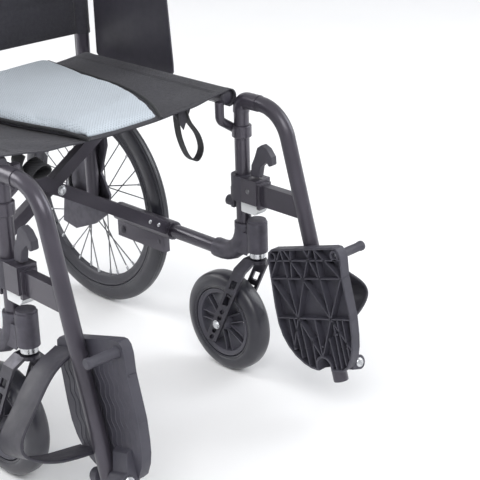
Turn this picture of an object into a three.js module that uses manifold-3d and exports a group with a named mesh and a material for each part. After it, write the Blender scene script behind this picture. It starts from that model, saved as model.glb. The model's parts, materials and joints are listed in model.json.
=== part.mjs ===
// A folding transport wheelchair: two tube side frames joined by a pair of crossed bars, swing-away leg rests with
// flip-up foot plates, swivelling casters, sixteen inch rear wheels, flip-back armrests and attendant brakes.
// Millimetres, +Z up, the chair faces -Y. Each side is drawn for the left (+X) and mirrored for the right.
import * as THREE from "three";
import { mergeVertices } from "three/addons/utils/BufferGeometryUtils.js";
import Module from "manifold-3d";

const wasm = await Module();
wasm.setup();

// Driving dimensions. Y is counted from the front posts, Z from the floor.
const GAP = 0.3; // clearance between touching pieces
const TUBE_R = 12.5;
const SIDE_X = 235; // half the width between the side frames
const RAIL_Z = 221; // lower rail
const RAIL_END_Y = 486;
const POST_TOP_Z = 480;
const CANE_Y = 405; // back cane
const HANDLE_Z = 930;
const HANDLE_END_Y = 548;
const SEAT_X = 222; // seat rails
const SEAT_Z = 500;
const SEAT_FRONT_Y = 15;
const CLAW_Y = 14;
const SLING_FRONT_Y = 22.5;
const SEAT_BACK_Y = 385;
const BAR_TIP_Z = SEAT_Z;
const BAR_Y = 190; // middle of the front crossed bar, which carries the right seat rail
const BAR_STEP_Y = 24; // the rear bar lies this far behind the front one
const BAR_DEPTH = 16;
const BAR_HEIGHT = 22;
const CROSS_Z = 361; // the bars' centre bolt
const SLEEVE_R = 17;
const STEM_Y = -30.5; // caster stem
const CASTER_Y = 45;
const CASTER_R = 90;
const CASTER_WIDTH = 40;
const RIM_R = 62;
const FORK_X = 27; // fork legs to each side of the wheel's middle
const FORK_THICK = 5;
const FORK_WIDTH = 26;
const FORK_TOP_Z = 226;
const FORK_BOTTOM_Z = 55;
const WHEEL_X = 272;
const WHEEL_Y = 450;
const WHEEL_R = 208;
const WHEEL_WIDTH = 28;
const TYRE_DEPTH = 32;
const SPOKES = 12;
const HANG_Z = 497; // top run of the leg rest tube
const HANG_Y = -90.5; // where its two straight runs would meet
const HANG_TILT = THREE.MathUtils.degToRad(16.2);
const HANG_LENGTH_S = 245.5; // end of the tube, counted down the tube from Z = 300
const PLATE_IN_X = 204; // the flipped-up foot plate
const PLATE_OUT_X = 221;
const HINGE_S = 212; // the foot plate's hinge
const SWUNG_OUT = THREE.MathUtils.degToRad(2); // the right leg rest stands this far open
const LOOP_DEPTH_LEFT = 126; // how far the heel loops stand off the plates
const LOOP_DEPTH_RIGHT = 120;
const ARM_Z = 700; // armrest tube and its hinge
const ARM_X = 266;
const ARM_R = 10;
const LENGTH_CENTRE_Y = 194.75; // middle of the whole object, front to back

// Colours: [colour, roughness, metalness]
const FINISH = {
  frame: [0x4b4952, 0.45, 0.5],
  fork: [0x26262b, 0.4, 0.4],
  plastic: [0x3b3b41, 0.6, 0],
  plate: [0x37373d, 0.65, 0],
  rubber: [0x1d1d21, 0.7, 0],
  tyre: [0x232429, 0.5, 0],
  steel: [0xb9bbc0, 0.3, 0.9],
  white: [0xe6e8ea, 0.4, 0],
  fabric: [0x26262b, 0.9, 0],
  mesh: [0xbec6cf, 0.85, 0],
  webbing: [0x1e1e22, 0.9, 0],
};

// ---- geometry helpers ----

const v3 = (x, y, z) => new THREE.Vector3(x, y, z);

function solid(geometry) {
  const bare = geometry.index ? geometry.toNonIndexed() : geometry.clone();
  bare.deleteAttribute("normal");
  bare.deleteAttribute("uv");
  const merged = mergeVertices(bare, 1e-3);
  const vertProperties = merged.attributes.position.array;
  const triVerts = new Uint32Array(merged.index.array);
  return new wasm.Manifold(new wasm.Mesh({ numProp: 3, vertProperties, triVerts }));
}

function geometryOf(body) {
  const mesh = body.getMesh();
  const positions = new Float32Array(mesh.numVert * 3);
  for (let i = 0; i < mesh.numVert; i++) {
    const at = i * mesh.numProp;
    positions.set(mesh.vertProperties.subarray(at, at + 3), i * 3);
  }
  const geometry = new THREE.BufferGeometry();
  geometry.setAttribute("position", new THREE.BufferAttribute(positions, 3));
  geometry.setIndex(new THREE.BufferAttribute(mesh.triVerts, 1));
  return geometry;
}

const join = (...parts) => geometryOf(parts.map(solid).reduce((a, b) => a.add(b)));
const cut = (part, ...tools) => geometryOf(tools.map(solid).reduce((a, b) => a.subtract(b), solid(part)));

function box(low, high) {
  const size = high.map((h, i) => h - low[i]);
  const geometry = new THREE.BoxGeometry(...size);
  return geometry.translate(...low.map((l, i) => l + size[i] / 2));
}

// A cylinder from one point to another.
function rod(from, to, radius, sides = 12) {
  const way = to.clone().sub(from);
  const geometry = new THREE.CylinderGeometry(radius, radius, way.length(), sides);
  const turn = new THREE.Quaternion().setFromUnitVectors(v3(0, 1, 0), way.clone().normalize());
  geometry.applyQuaternion(turn);
  const middle = from.clone().add(to).multiplyScalar(0.5);
  return geometry.translate(middle.x, middle.y, middle.z);
}

// A path that puts one ring of an extrusion at each of its points.
class Stations extends THREE.Curve {
  constructor(points) {
    super();
    this.points = points;
  }
  getPointAt(u) {
    const at = u * (this.points.length - 1);
    const i = Math.min(Math.floor(at), this.points.length - 2);
    return this.points[i].clone().lerp(this.points[i + 1], at - i);
  }
  getPoint(u) {
    return this.getPointAt(u);
  }
  getTangentAt(u, target = v3(0, 0, 0)) {
    const i = Math.round(u * (this.points.length - 1));
    const before = this.points[Math.max(i - 1, 0)];
    const after = this.points[Math.min(i + 1, this.points.length - 1)];
    return target.copy(after).sub(before).normalize();
  }
}

// The points of a route with each corner rounded to its radius.
function rounded(corners, radii, steps = 6) {
  const points = [corners[0]];
  for (let i = 1; i < corners.length - 1; i++) {
    const inward = corners[i].clone().sub(corners[i - 1]).normalize();
    const outward = corners[i + 1].clone().sub(corners[i]).normalize();
    const turn = inward.angleTo(outward);
    const back = radii[i - 1] * Math.tan(turn / 2);
    const start = corners[i].clone().addScaledVector(inward, -back);
    const side = outward.clone().addScaledVector(inward, -inward.dot(outward)).normalize();
    const centre = start.clone().addScaledVector(side, radii[i - 1]);
    for (let k = 0; k <= steps; k++) {
      const angle = (turn * k) / steps;
      const point = centre.clone().addScaledVector(side, -radii[i - 1] * Math.cos(angle));
      points.push(point.addScaledVector(inward, radii[i - 1] * Math.sin(angle)));
    }
  }
  points.push(corners.at(-1));
  return points;
}

function sweep(points, section, curveSegments = 6) {
  const extrudePath = new Stations(points);
  const steps = points.length - 1;
  return new THREE.ExtrudeGeometry(section, { steps, curveSegments, extrudePath, bevelEnabled: false });
}

function circle(radius) {
  return new THREE.Shape().absarc(0, 0, radius, 0, 2 * Math.PI);
}

const tube = (points, radius, curveSegments = 6) => sweep(points, circle(radius), curveSegments);

// A flat piece: an outline in Y and Z, extruded along X.
function slab(outline, fromX, toX) {
  const shape = new THREE.Shape(outline.map(([y, z]) => new THREE.Vector2(y, z)));
  const geometry = new THREE.ExtrudeGeometry(shape, { depth: toX - fromX, bevelEnabled: false });
  const turn = new THREE.Matrix4().makeBasis(v3(0, 1, 0), v3(0, 0, 1), v3(1, 0, 0));
  return geometry.applyMatrix4(turn).translate(fromX, 0, 0);
}

// A turned piece about an axis along X: a closed profile of [x, radius], inner side first.
function turned(profile, x, y, z, sides) {
  const points = profile.map(([along, radius]) => new THREE.Vector2(radius, along)).reverse();
  const geometry = new THREE.LatheGeometry([...points, points[0].clone()], sides);
  const turn = new THREE.Matrix4().makeBasis(v3(0, 1, 0), v3(1, 0, 0), v3(0, 0, -1));
  return geometry.applyMatrix4(turn).translate(x, y, z);
}

// A place on the leg rest: s runs down the tube from Z = 300, t forwards and up from its centreline.
function onHanger(x, s, t) {
  const start = HANG_Y - (HANG_Z - 300) * Math.tan(HANG_TILT);
  const y = start - s * Math.sin(HANG_TILT) - t * Math.cos(HANG_TILT);
  return v3(x, y, 300 - s * Math.cos(HANG_TILT) + t * Math.sin(HANG_TILT));
}

function hangerSlab(outline, fromX, toX) {
  const places = outline.map(([s, t]) => onHanger(0, s, t));
  return slab(places.map((p) => [p.y, p.z]), fromX, toX);
}

// ---- the side frames ----

// The post carries the claw that the seat rail drops into.
function frontPost() {
  const post = rod(v3(SIDE_X, 0, 286), v3(SIDE_X, 0, POST_TOP_Z - 4), TUBE_R, 16);
  const ring = rod(v3(SIDE_X, 0, 434), v3(SIDE_X, 0, 454), TUBE_R + 4, 14);
  const route = [v3(SIDE_X, 0, 444), v3(SIDE_X - 7, CLAW_Y, 448), v3(200, CLAW_Y, 466), v3(200, CLAW_Y, 497)];
  return join(post, ring, tube(rounded(route, [6, 14], 4), 7.5, 5));
}

function lowerRail() {
  return rod(v3(SIDE_X, 68 + GAP, RAIL_Z), v3(SIDE_X, RAIL_END_Y, RAIL_Z), TUBE_R, 16);
}

// The elbow casting between the rail and the post, with a toothed plate that sets the caster's angle.
function cornerCasting() {
  const route = [v3(SIDE_X, 68, RAIL_Z), v3(SIDE_X, 0, RAIL_Z), v3(SIDE_X, 0, 286 - GAP)];
  const elbow = tube(rounded(route, [52], 6), 17);
  const web = box([SIDE_X - 11, -26, 236], [SIDE_X + 11, 0, 280]);
  const plate = box([SIDE_X - 14, -20, 232], [SIDE_X + 14, 8, 272]);
  const housing = rod(v3(SIDE_X, STEM_Y, 200), v3(SIDE_X, STEM_Y, 320), 17.5 + GAP, 16);
  return cut(join(elbow, web, plate), housing);
}

function casterHousing() {
  const shell = rod(v3(SIDE_X, STEM_Y, 240), v3(SIDE_X, STEM_Y, 293), 17.5, 16);
  const bearing = rod(v3(SIDE_X, STEM_Y, 229), v3(SIDE_X, STEM_Y, 241), 13, 14);
  const cap = rod(v3(SIDE_X, STEM_Y, 292), v3(SIDE_X, STEM_Y, 297), 15.5, 16);
  const bore = rod(v3(SIDE_X, STEM_Y, 220), v3(SIDE_X, STEM_Y, 289), 8 + GAP, 16);
  return cut(join(shell, bearing, cap), bore);
}

// The fork is one strap bent over the wheel, raked back, with two slots and five axle holes in each leg.
function casterFork() {
  const half = FORK_X + FORK_THICK / 2;
  const inner = half - FORK_THICK;
  const shoulder = 16;
  const strap = new THREE.Shape();
  strap.moveTo(-half, FORK_BOTTOM_Z);
  strap.lineTo(-inner, FORK_BOTTOM_Z);
  strap.lineTo(-inner, FORK_TOP_Z - 6 - shoulder);
  strap.lineTo(-inner + shoulder, FORK_TOP_Z - 6);
  strap.lineTo(inner - shoulder, FORK_TOP_Z - 6);
  strap.lineTo(inner, FORK_TOP_Z - 6 - shoulder);
  strap.lineTo(inner, FORK_BOTTOM_Z);
  strap.lineTo(half, FORK_BOTTOM_Z);
  strap.lineTo(half, FORK_TOP_Z - shoulder);
  strap.lineTo(half - shoulder, FORK_TOP_Z);
  strap.lineTo(-half + shoulder, FORK_TOP_Z);
  strap.lineTo(-half, FORK_TOP_Z - shoulder);
  const flat = new THREE.ExtrudeGeometry(strap, { depth: FORK_WIDTH, bevelEnabled: false });
  flat.rotateX(Math.PI / 2).translate(0, FORK_WIDTH / 2, 0);
  const holes = [0, 1, 2, 3, 4].map((n) => rod(v3(-40, 0, 62 + 14 * n), v3(40, 0, 62 + 14 * n), 5 + GAP, 8));
  const slots = [[133, 158], [168, 186]].map(([low, high]) => box([-40, -6.5, low], [40, 6.5, high]));
  const raked = cut(flat, ...holes, ...slots);
  const rake = (CASTER_Y - STEM_Y) / (240 - CASTER_R);
  const place = raked.attributes.position;
  for (let i = 0; i < place.count; i++) {
    place.setXYZ(i, place.getX(i) + SIDE_X, place.getY(i) + STEM_Y + rake * (240 - place.getZ(i)), place.getZ(i));
  }
  const axleHole = rod(v3(SIDE_X - 40, CASTER_Y, CASTER_R), v3(SIDE_X + 40, CASTER_Y, CASTER_R), 5 + GAP, 8);
  const boss = rod(v3(SIDE_X, STEM_Y, FORK_TOP_Z - 6), v3(SIDE_X, STEM_Y, FORK_TOP_Z), 15, 14);
  const stem = rod(v3(SIDE_X, STEM_Y, FORK_TOP_Z - 2), v3(SIDE_X, STEM_Y, 288), 8, 16);
  return cut(join(raked, boss, stem), axleHole);
}

function casterAxle() {
  const end = FORK_X + FORK_THICK / 2 + GAP;
  const bolt = rod(v3(SIDE_X - end - 4, CASTER_Y, CASTER_R), v3(SIDE_X + end + 4, CASTER_Y, CASTER_R), 5, 8);
  const heads = [-1, 1].map((side) => {
    const from = v3(SIDE_X + side * end, CASTER_Y, CASTER_R);
    return rod(from, from.clone().add(v3(side * 4, 0, 0)), 8, 12);
  });
  return join(bolt, ...heads);
}

function casterRim() {
  const hub = turned([[-22, 5.4], [22, 5.4], [22, 14], [-22, 14]], SIDE_X, CASTER_Y, CASTER_R, 14);
  const hoop = turned([[-16, 54], [16, 54], [16, RIM_R - 0.6], [-16, RIM_R - 0.6]], SIDE_X, CASTER_Y, CASTER_R, 22);
  const spokes = [];
  for (let n = 0; n < 7; n++) {
    const spoke = box([-10, -5, 12], [10, 5, 56]).rotateX((2 * Math.PI * n) / 7);
    spokes.push(spoke.translate(SIDE_X, CASTER_Y, CASTER_R));
  }
  return join(hub, hoop, ...spokes);
}

function tyre(x, y, inner, outer, width, sides) {
  const half = width / 2;
  const crown = (outer - inner) * 0.3;
  const profile = [[-half, inner], [half, inner], [half, outer - crown * 1.6], [half * 0.45, outer],
    [-half * 0.45, outer], [-half, outer - crown * 1.6]];
  return turned(profile, x, y, outer, sides);
}

// Rim, crossed spokes and hub of a rear wheel, laced together.
function rearWheel() {
  const rimOut = WHEEL_R - TYRE_DEPTH - 2;
  const rimIn = rimOut - 17;
  const hoop = turned([[-9, rimIn], [9, rimIn], [12, rimOut], [-12, rimOut]], WHEEL_X, WHEEL_Y, WHEEL_R, 30);
  const hub = turned([[-14, 6.4], [15, 6.4], [15, 14], [12, 14], [12, 27], [9, 27], [9, 13], [-9, 13],
    [-9, 27], [-12, 27], [-12, 14], [-14, 14]], WHEEL_X, WHEEL_Y, WHEEL_R, 16);
  const spokes = [];
  for (let n = 0; n < SPOKES; n++) {
    const side = n % 2 ? 1 : -1;
    const lean = (n % 4 < 2 ? 1 : -1) * 1.1;
    const angle = (2 * Math.PI * n) / SPOKES;
    const from = v3(side * 10.5, 24 * Math.cos(angle + lean), 24 * Math.sin(angle + lean));
    const to = v3(side * 3, (rimIn + 3) * Math.cos(angle), (rimIn + 3) * Math.sin(angle));
    spokes.push(rod(from, to, 1.6, 3).translate(WHEEL_X, WHEEL_Y, WHEEL_R));
  }
  return join(hoop, hub, ...spokes);
}

// The wheel's bolt with the hub brake's fixed drum.
function rearAxle() {
  const at = (x) => v3(x, WHEEL_Y, WHEEL_R);
  return join(rod(at(248.5), at(294), 6, 16), rod(at(254.2), at(257.5), 30, 28), rod(at(288), at(295), 11, 16));
}

function axlePlate() {
  const outline = [[395, 470], [381, 400], [375, 333], [396, 276], [374, 236], [384, 196], [424, 166], [484, 141],
    [524, 148], [516, 200], [496, 270], [458, 320], [432, 400], [417, 470]];
  const plate = slab(outline, SIDE_X + TUBE_R + GAP, SIDE_X + TUBE_R + 6);
  const boltPlaces = [[395, RAIL_Z], [CANE_Y, 350], [CANE_Y, 440]];
  const bolts = boltPlaces.map(([y, z]) => rod(v3(250, y, z), v3(257.5, y, z), 7, 6));
  const hole = rod(v3(240, WHEEL_Y, WHEEL_R), v3(270, WHEEL_Y, WHEEL_R), 6 + GAP, 16);
  return cut(join(plate, ...bolts), hole);
}

// The cane rises from the lower rail, turns back into the push handle and carries the armrest's hinge pin.
function backCane() {
  const foot = RAIL_Z + TUBE_R + GAP;
  const route = [v3(SIDE_X, CANE_Y, foot), v3(SIDE_X, CANE_Y, HANDLE_Z), v3(SIDE_X, HANDLE_END_Y - 4, HANDLE_Z)];
  const clamp = rod(v3(SIDE_X, CANE_Y, ARM_Z - 14), v3(SIDE_X, CANE_Y, ARM_Z + 14), TUBE_R + 3, 14);
  const lug = rod(v3(SIDE_X, CANE_Y, ARM_Z), v3(ARM_X - 14, CANE_Y, ARM_Z), 11, 16);
  const pin = rod(v3(SIDE_X, CANE_Y, ARM_Z), v3(ARM_X + 14, CANE_Y, ARM_Z), 5, 8);
  const head = rod(v3(ARM_X + 11, CANE_Y, ARM_Z), v3(ARM_X + 15, CANE_Y, ARM_Z), 9, 16);
  const lever = v3(SIDE_X, 440, HANDLE_Z);
  const collar = rod(lever, v3(SIDE_X, 456, HANDLE_Z), TUBE_R + 3, 14);
  const ear = box([SIDE_X - 4, 441, HANDLE_Z - 30], [SIDE_X + 4, 455, HANDLE_Z - 10]);
  return join(tube(rounded(route, [46], 5), TUBE_R), clamp, lug, pin, head, collar, ear);
}

function pushGrip() {
  const end = v3(SIDE_X, HANDLE_END_Y, HANDLE_Z);
  const sleeve = rod(v3(SIDE_X, 459, HANDLE_Z), end, 16, 14);
  return cut(sleeve, rod(v3(SIDE_X, 450, HANDLE_Z), v3(SIDE_X, HANDLE_END_Y - 4 + GAP, HANDLE_Z), TUBE_R + GAP, 16));
}

// The attendant squeezes this lever up towards the grip.
function brakeLever() {
  const fork = box([SIDE_X - 9, 440, HANDLE_Z - 38], [SIDE_X + 9, 462, HANDLE_Z - 19]);
  const slot = box([SIDE_X - 4.5, 430, HANDLE_Z - 33], [SIDE_X + 4.5, 457, HANDLE_Z - 10]);
  const route = [v3(SIDE_X, 459, HANDLE_Z - 29), v3(SIDE_X, 480, HANDLE_Z - 37), v3(SIDE_X, 541, HANDLE_Z - 37)];
  return join(cut(fork, slot), tube(rounded(route, [20], 3), 5, 4));
}

// A sheathed cable down the back of the cane to the threaded adjuster above the rail's end.
function brakeCable() {
  const back = CANE_Y + TUBE_R + 6.5;
  const route = [v3(SIDE_X, 447, HANDLE_Z - 40), v3(SIDE_X, 447, 850), v3(SIDE_X, back, 780), v3(SIDE_X, back, 330),
    v3(SIDE_X, 477, 300), v3(SIDE_X, 477, 262)];
  const adjuster = rod(v3(SIDE_X, 477, RAIL_Z + TUBE_R + GAP), v3(SIDE_X, 477, 264), 7, 12);
  return join(tube(rounded(route, [40, 40, 24, 18], 3), 2.5, 4), adjuster);
}

// ---- the armrests ----

function armrestFrame() {
  const top = [v3(ARM_X, CANE_Y - 3, ARM_Z), v3(ARM_X, 148, ARM_Z)];
  const hub = rod(v3(ARM_X - 10, CANE_Y, ARM_Z), v3(ARM_X + 10, CANE_Y, ARM_Z), 14, 14);
  const guard = [v3(ARM_X - 3, 212, ARM_Z), v3(ARM_X - 3, 212, 512), v3(ARM_X - 3, 384, 512), v3(ARM_X - 3, 384, ARM_Z)];
  const pinHole = rod(v3(ARM_X - 20, CANE_Y, ARM_Z), v3(ARM_X + 20, CANE_Y, ARM_Z), 5 + 2 * GAP, 8);
  return cut(join(tube(top, ARM_R), hub, tube(rounded(guard, [22, 22], 4), 7, 5)), pinHole);
}

function armPad() {
  return box([253, 126, ARM_Z + ARM_R + GAP], [293, 388, ARM_Z + ARM_R + 28]);
}

function skirtGuard() {
  const outline = [[186, 501], [383, 501], [389, 507], [389, 684], [196, 684], [182, 520], [182, 505]];
  return slab(outline, 251.8, 255.4);
}

// ---- the leg rests ----

// Elbow, tube, strut and the block that closes on the post's receiver.
function hangerTube() {
  const start = v3(SIDE_X, 0, POST_TOP_Z - 4 + GAP);
  const end = onHanger(SIDE_X, HANG_LENGTH_S, 0);
  const route = [start, v3(SIDE_X, 0, HANG_Z), v3(SIDE_X, HANG_Y, HANG_Z), end];
  const main = tube(rounded(route, [16.5, 62], 5), TUBE_R);
  const elbow = tube(rounded([start, v3(SIDE_X, 0, HANG_Z), v3(SIDE_X, -42, HANG_Z)], [16.5], 5), 13.6, 6);
  const collar = box([SIDE_X - 14, -51, 321], [SIDE_X + 14, -44, 364]);
  const strut = box([SIDE_X - 8, -138, 326], [SIDE_X + 8, -48, 362]);
  const block = cut(box([SIDE_X - 17, -46, 327], [SIDE_X + 17, -8, 370]), postSleeve(20 + 3 * GAP, 300, 400));
  const pinHole = rod(onHanger(SIDE_X, HINGE_S, -30), onHanger(SIDE_X, HINGE_S, 30), 5 + 2 * GAP, 8);
  return cut(join(main, elbow, collar, strut, block), pinHole);
}

const postSleeve = (radius, low, high) => rod(v3(SIDE_X, 0, low), v3(SIDE_X, 0, high), radius, 16);

// The ring on the post that the hanger's block closes on, with its locking knob.
function latchReceiver() {
  const lug = box([SIDE_X - 8, 15, 308], [SIDE_X + 8, 22, 345]);
  const knob = rod(v3(SIDE_X, 20, 316), v3(SIDE_X, 35, 316), 9, 16);
  return cut(join(postSleeve(20, 327, 370), lug, knob), postSleeve(TUBE_R + GAP, 290, 390));
}

function latchHook() {
  const outline = [[-24, 372.5], [-42, 372.5], [-46, 392], [-60, 404], [-66, 397], [-73, 401], [-72, 414], [-62, 426],
    [-50, 431], [-40, 424], [-34, 408], [-26, 392]];
  return slab(outline, SIDE_X - 6.5, SIDE_X + 6.5);
}

function latchPad() {
  const top = 326 - GAP;
  const outline = [[-43.6, top], [-43.6, 315], [-37, 308], [-8, 308], [-2, 313], [-2, top]];
  return cut(slab(outline, SIDE_X - 12, SIDE_X + 12), postSleeve(TUBE_R + 1, 290, 340));
}

// The tray-shaped foot plate: a tread, a wall round it and ribs below, with the lugs of its hinge and a lift peg.
function footplate() {
  const rim = [[14, -62], [19, -71], [32, -76], [73, -80], [141, -86], [177, -76], [207, -46], [219, -22], [219, 40],
    [196, 64], [165, 76], [128, 82], [62, 83], [26, 88], [17, 83], [14, 74]];
  const inset = (value, middle) => value + (middle > value ? 5 : -5);
  const floor = rim.map(([s, t]) => [inset(s, 112), t - Math.sign(t) * 5]);
  const tray = cut(hangerSlab(rim, PLATE_IN_X, PLATE_OUT_X), hangerSlab(floor, PLATE_IN_X - 1, PLATE_OUT_X - 5));
  const rib = (a, b) => {
    const way = new THREE.Vector2(b[0] - a[0], b[1] - a[1]).normalize().multiplyScalar(1.5);
    const corners = [[a[0] - way.y, a[1] + way.x], [b[0] - way.y, b[1] + way.x], [b[0] + way.y, b[1] - way.x],
      [a[0] + way.y, a[1] - way.x]];
    return hangerSlab(corners, PLATE_IN_X + 1, PLATE_OUT_X - 4);
  };
  const lines = [[[34, -74], [34, 86]], [[62, -77], [62, 82]], [[131, -84], [131, 81]], [[62, -74], [131, -24]],
    [[131, -24], [18, 34]], [[62, 74], [131, 44]], [[131, 44], [18, -36]], [[131, -24], [212, 14]]];
  const lug = (from, to) => join(
    hangerSlab([[HINGE_S - 24, from], [HINGE_S + 7, from], [HINGE_S + 7, to], [HINGE_S - 24, to]],
      PLATE_OUT_X - 3, SIDE_X),
    rod(onHanger(SIDE_X, HINGE_S, from), onHanger(SIDE_X, HINGE_S, to), 13, 16));
  const pin = rod(onHanger(SIDE_X, HINGE_S, -34), onHanger(SIDE_X, HINGE_S, 54), 5, 8);
  const bossTop = rod(onHanger(PLATE_OUT_X - 4, 29, 73), onHanger(PLATE_OUT_X + 8, 29, 73), 10, 16);
  const peg = rod(onHanger(PLATE_OUT_X, 29, 73), onHanger(PLATE_OUT_X + 52, 29, 73), 6.5, 8);
  // The tube's end passes through this notch when the plate is down.
  const saddle = rod(onHanger(PLATE_IN_X, HINGE_S, 0), onHanger(PLATE_OUT_X - 1, HINGE_S, 0), TUBE_R + 6, 20);
  const notch = rod(onHanger(PLATE_IN_X - 5, HINGE_S, 0), onHanger(PLATE_OUT_X + 1, HINGE_S, 0), TUBE_R + 2.5, 20);
  const below = hangerSlab([[219, -40], [260, -40], [260, 40], [219, 40]], PLATE_IN_X - 5, PLATE_OUT_X + 1);
  const plate = cut(join(tray, ...lines.map(([a, b]) => rib(a, b)), saddle), notch, below);
  return join(plate, lug(-30, -15), lug(15, 50), pin, bossTop, peg);
}

// A band that stands off the tread's rear edge and keeps the heel on the plate.
function heelLoop(depth) {
  const route = [[0, 28], [0.39, 48], [0.75, 88], [1, 121], [0.96, 145], [0.6, 167], [0, 178]];
  const places = route.map(([out, s]) => onHanger(PLATE_OUT_X + 3 + out * depth, s, -44));
  const bend = new THREE.CatmullRomCurve3(places);
  const across = onHanger(0, 0, 1).sub(onHanger(0, 0, 0));
  const points = bend.getPoints(12);
  const half = across.clone().multiplyScalar(30);
  const band = [];
  for (let i = 0; i < points.length - 1; i++) band.push(bandSegment(points, i, half, 2));
  return join(...band);
}

// One straight stretch of a flat band, mitred into the next.
function bandSegment(points, i, half, thick) {
  const normalAt = (k) => {
    const along = points[Math.min(k + 1, points.length - 1)].clone().sub(points[Math.max(k - 1, 0)]);
    return along.cross(half).normalize().multiplyScalar(thick);
  };
  const ring = (k) => {
    const n = normalAt(k);
    const at = points[k];
    return [at.clone().add(half).add(n), at.clone().sub(half).add(n), at.clone().sub(half).sub(n),
      at.clone().add(half).sub(n)];
  };
  const corners = [...ring(i), ...ring(i + 1)];
  const sides = [0, 1, 2, 3].flatMap((a) => {
    const b = (a + 1) % 4;
    return [a, b, a + 4, b, b + 4, a + 4];
  });
  const faces = [0, 2, 1, 0, 3, 2, 4, 5, 6, 4, 6, 7, ...sides];
  const geometry = new THREE.BufferGeometry().setFromPoints(corners);
  geometry.setIndex(faces);
  return geometry;
}

// ---- the folding frame ----

function seatRail() {
  return rod(v3(SEAT_X, SEAT_FRONT_Y, SEAT_Z), v3(SEAT_X, SEAT_BACK_Y, SEAT_Z), TUBE_R, 16);
}

// One crossed bar: a sleeve that turns on the far side's lower rail, and an arm up to this side's seat rail.
function crossBar(y) {
  const foot = v3(-SIDE_X, y, RAIL_Z);
  const middle = v3(0, y, CROSS_Z);
  const tip = v3(SEAT_X, y, BAR_TIP_Z);
  const arm = flatBar([foot, middle, tip]);
  const sleeve = rod(v3(-SIDE_X, 178, RAIL_Z), v3(-SIDE_X, 330, RAIL_Z), SLEEVE_R, 14);
  const bracket = box([-SIDE_X - 6, 200, 174], [-SIDE_X + 6, 330, 210]);
  const railHole = rod(v3(-SIDE_X, 100, RAIL_Z), v3(-SIDE_X, 400, RAIL_Z), TUBE_R + 2 * GAP, 16);
  const seatRoom = rod(v3(SEAT_X, 100, SEAT_Z), v3(SEAT_X, 400, SEAT_Z), TUBE_R + GAP, 16);
  const boltHole = rod(v3(0, y - 20, CROSS_Z), v3(0, y + 20, CROSS_Z), 6 + GAP, 16);
  return cut(join(arm, sleeve, bracket), railHole, seatRoom, boltHole);
}

// A flat-sided bar through three places in one plane of constant Y.
function flatBar([from, middle, to]) {
  const across = (a, b) => {
    const way = b.clone().sub(a).normalize();
    return v3(-way.z, 0, way.x).multiplyScalar(BAR_HEIGHT / 2);
  };
  const low = across(from, middle);
  const high = across(middle, to);
  const bend = low.clone().add(high).multiplyScalar(0.5);
  const outline = [from.clone().sub(low), middle.clone().sub(bend), to.clone().sub(high), to.clone().add(high),
    middle.clone().add(bend), from.clone().add(low)];
  const shape = new THREE.Shape(outline.map((p) => new THREE.Vector2(p.x, p.z)));
  const geometry = new THREE.ExtrudeGeometry(shape, { depth: BAR_DEPTH, bevelEnabled: false });
  return geometry.rotateX(Math.PI / 2).translate(0, from.y + BAR_DEPTH / 2, 0);
}

function centreBolt() {
  const from = BAR_Y - BAR_DEPTH / 2 - GAP;
  const to = BAR_Y + BAR_STEP_Y + BAR_DEPTH / 2 + GAP;
  const at = (y) => v3(0, y, CROSS_Z);
  const washer = rod(at(BAR_Y + BAR_DEPTH / 2 + GAP), at(BAR_Y + BAR_STEP_Y - BAR_DEPTH / 2 - GAP), 10, 16);
  return join(rod(at(from - 4), at(to + 4), 6, 16), rod(at(from - 5), at(from), 9, 6), rod(at(to), at(to + 5), 9, 6), washer);
}

// ---- soft goods, as plain solids ----

function seatSling() {
  const edge = SEAT_X - TUBE_R - 2;
  return box([-edge, SLING_FRONT_Y, 505.5], [edge, SEAT_BACK_Y - 2, 510.5]);
}

function seatCushion() {
  const shape = new THREE.Shape();
  shape.moveTo(-72, 14);
  shape.lineTo(72, 14);
  shape.bezierCurveTo(105, 40, 124, 90, 129, 149);
  shape.lineTo(135, 378);
  shape.lineTo(-135, 378);
  shape.lineTo(-129, 149);
  shape.bezierCurveTo(-124, 90, -105, 40, -72, 14);
  const pad = { depth: 18, bevelEnabled: false, curveSegments: 5 };
  return new THREE.ExtrudeGeometry(shape, pad).translate(0, 0, 511);
}

function pullStrap() {
  const y = 27;
  const route = [[118, 494], [124, 455], [140, 418], [158, 408], [168, 424], [160, 455], [144, 494]];
  const curve = new THREE.CatmullRomCurve3(route.map(([x, z]) => v3(x, y, z)));
  const points = curve.getPoints(12);
  const half = v3(0, 7, 0);
  const band = [];
  for (let i = 0; i < points.length - 1; i++) band.push(bandSegment(points, i, half, 1.2));
  return join(...band);
}

function backSling() {
  return box([-SIDE_X + TUBE_R + 4, CANE_Y - 5, 545], [SIDE_X - TUBE_R - 4, CANE_Y + 5, 872]);
}

// ---- assembly ----

function mesh(name, geometry, [color, roughness, metalness]) {
  const part = new THREE.Mesh(geometry, new THREE.MeshStandardMaterial({ color, roughness, metalness }));
  part.name = name;
  return part;
}

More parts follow.
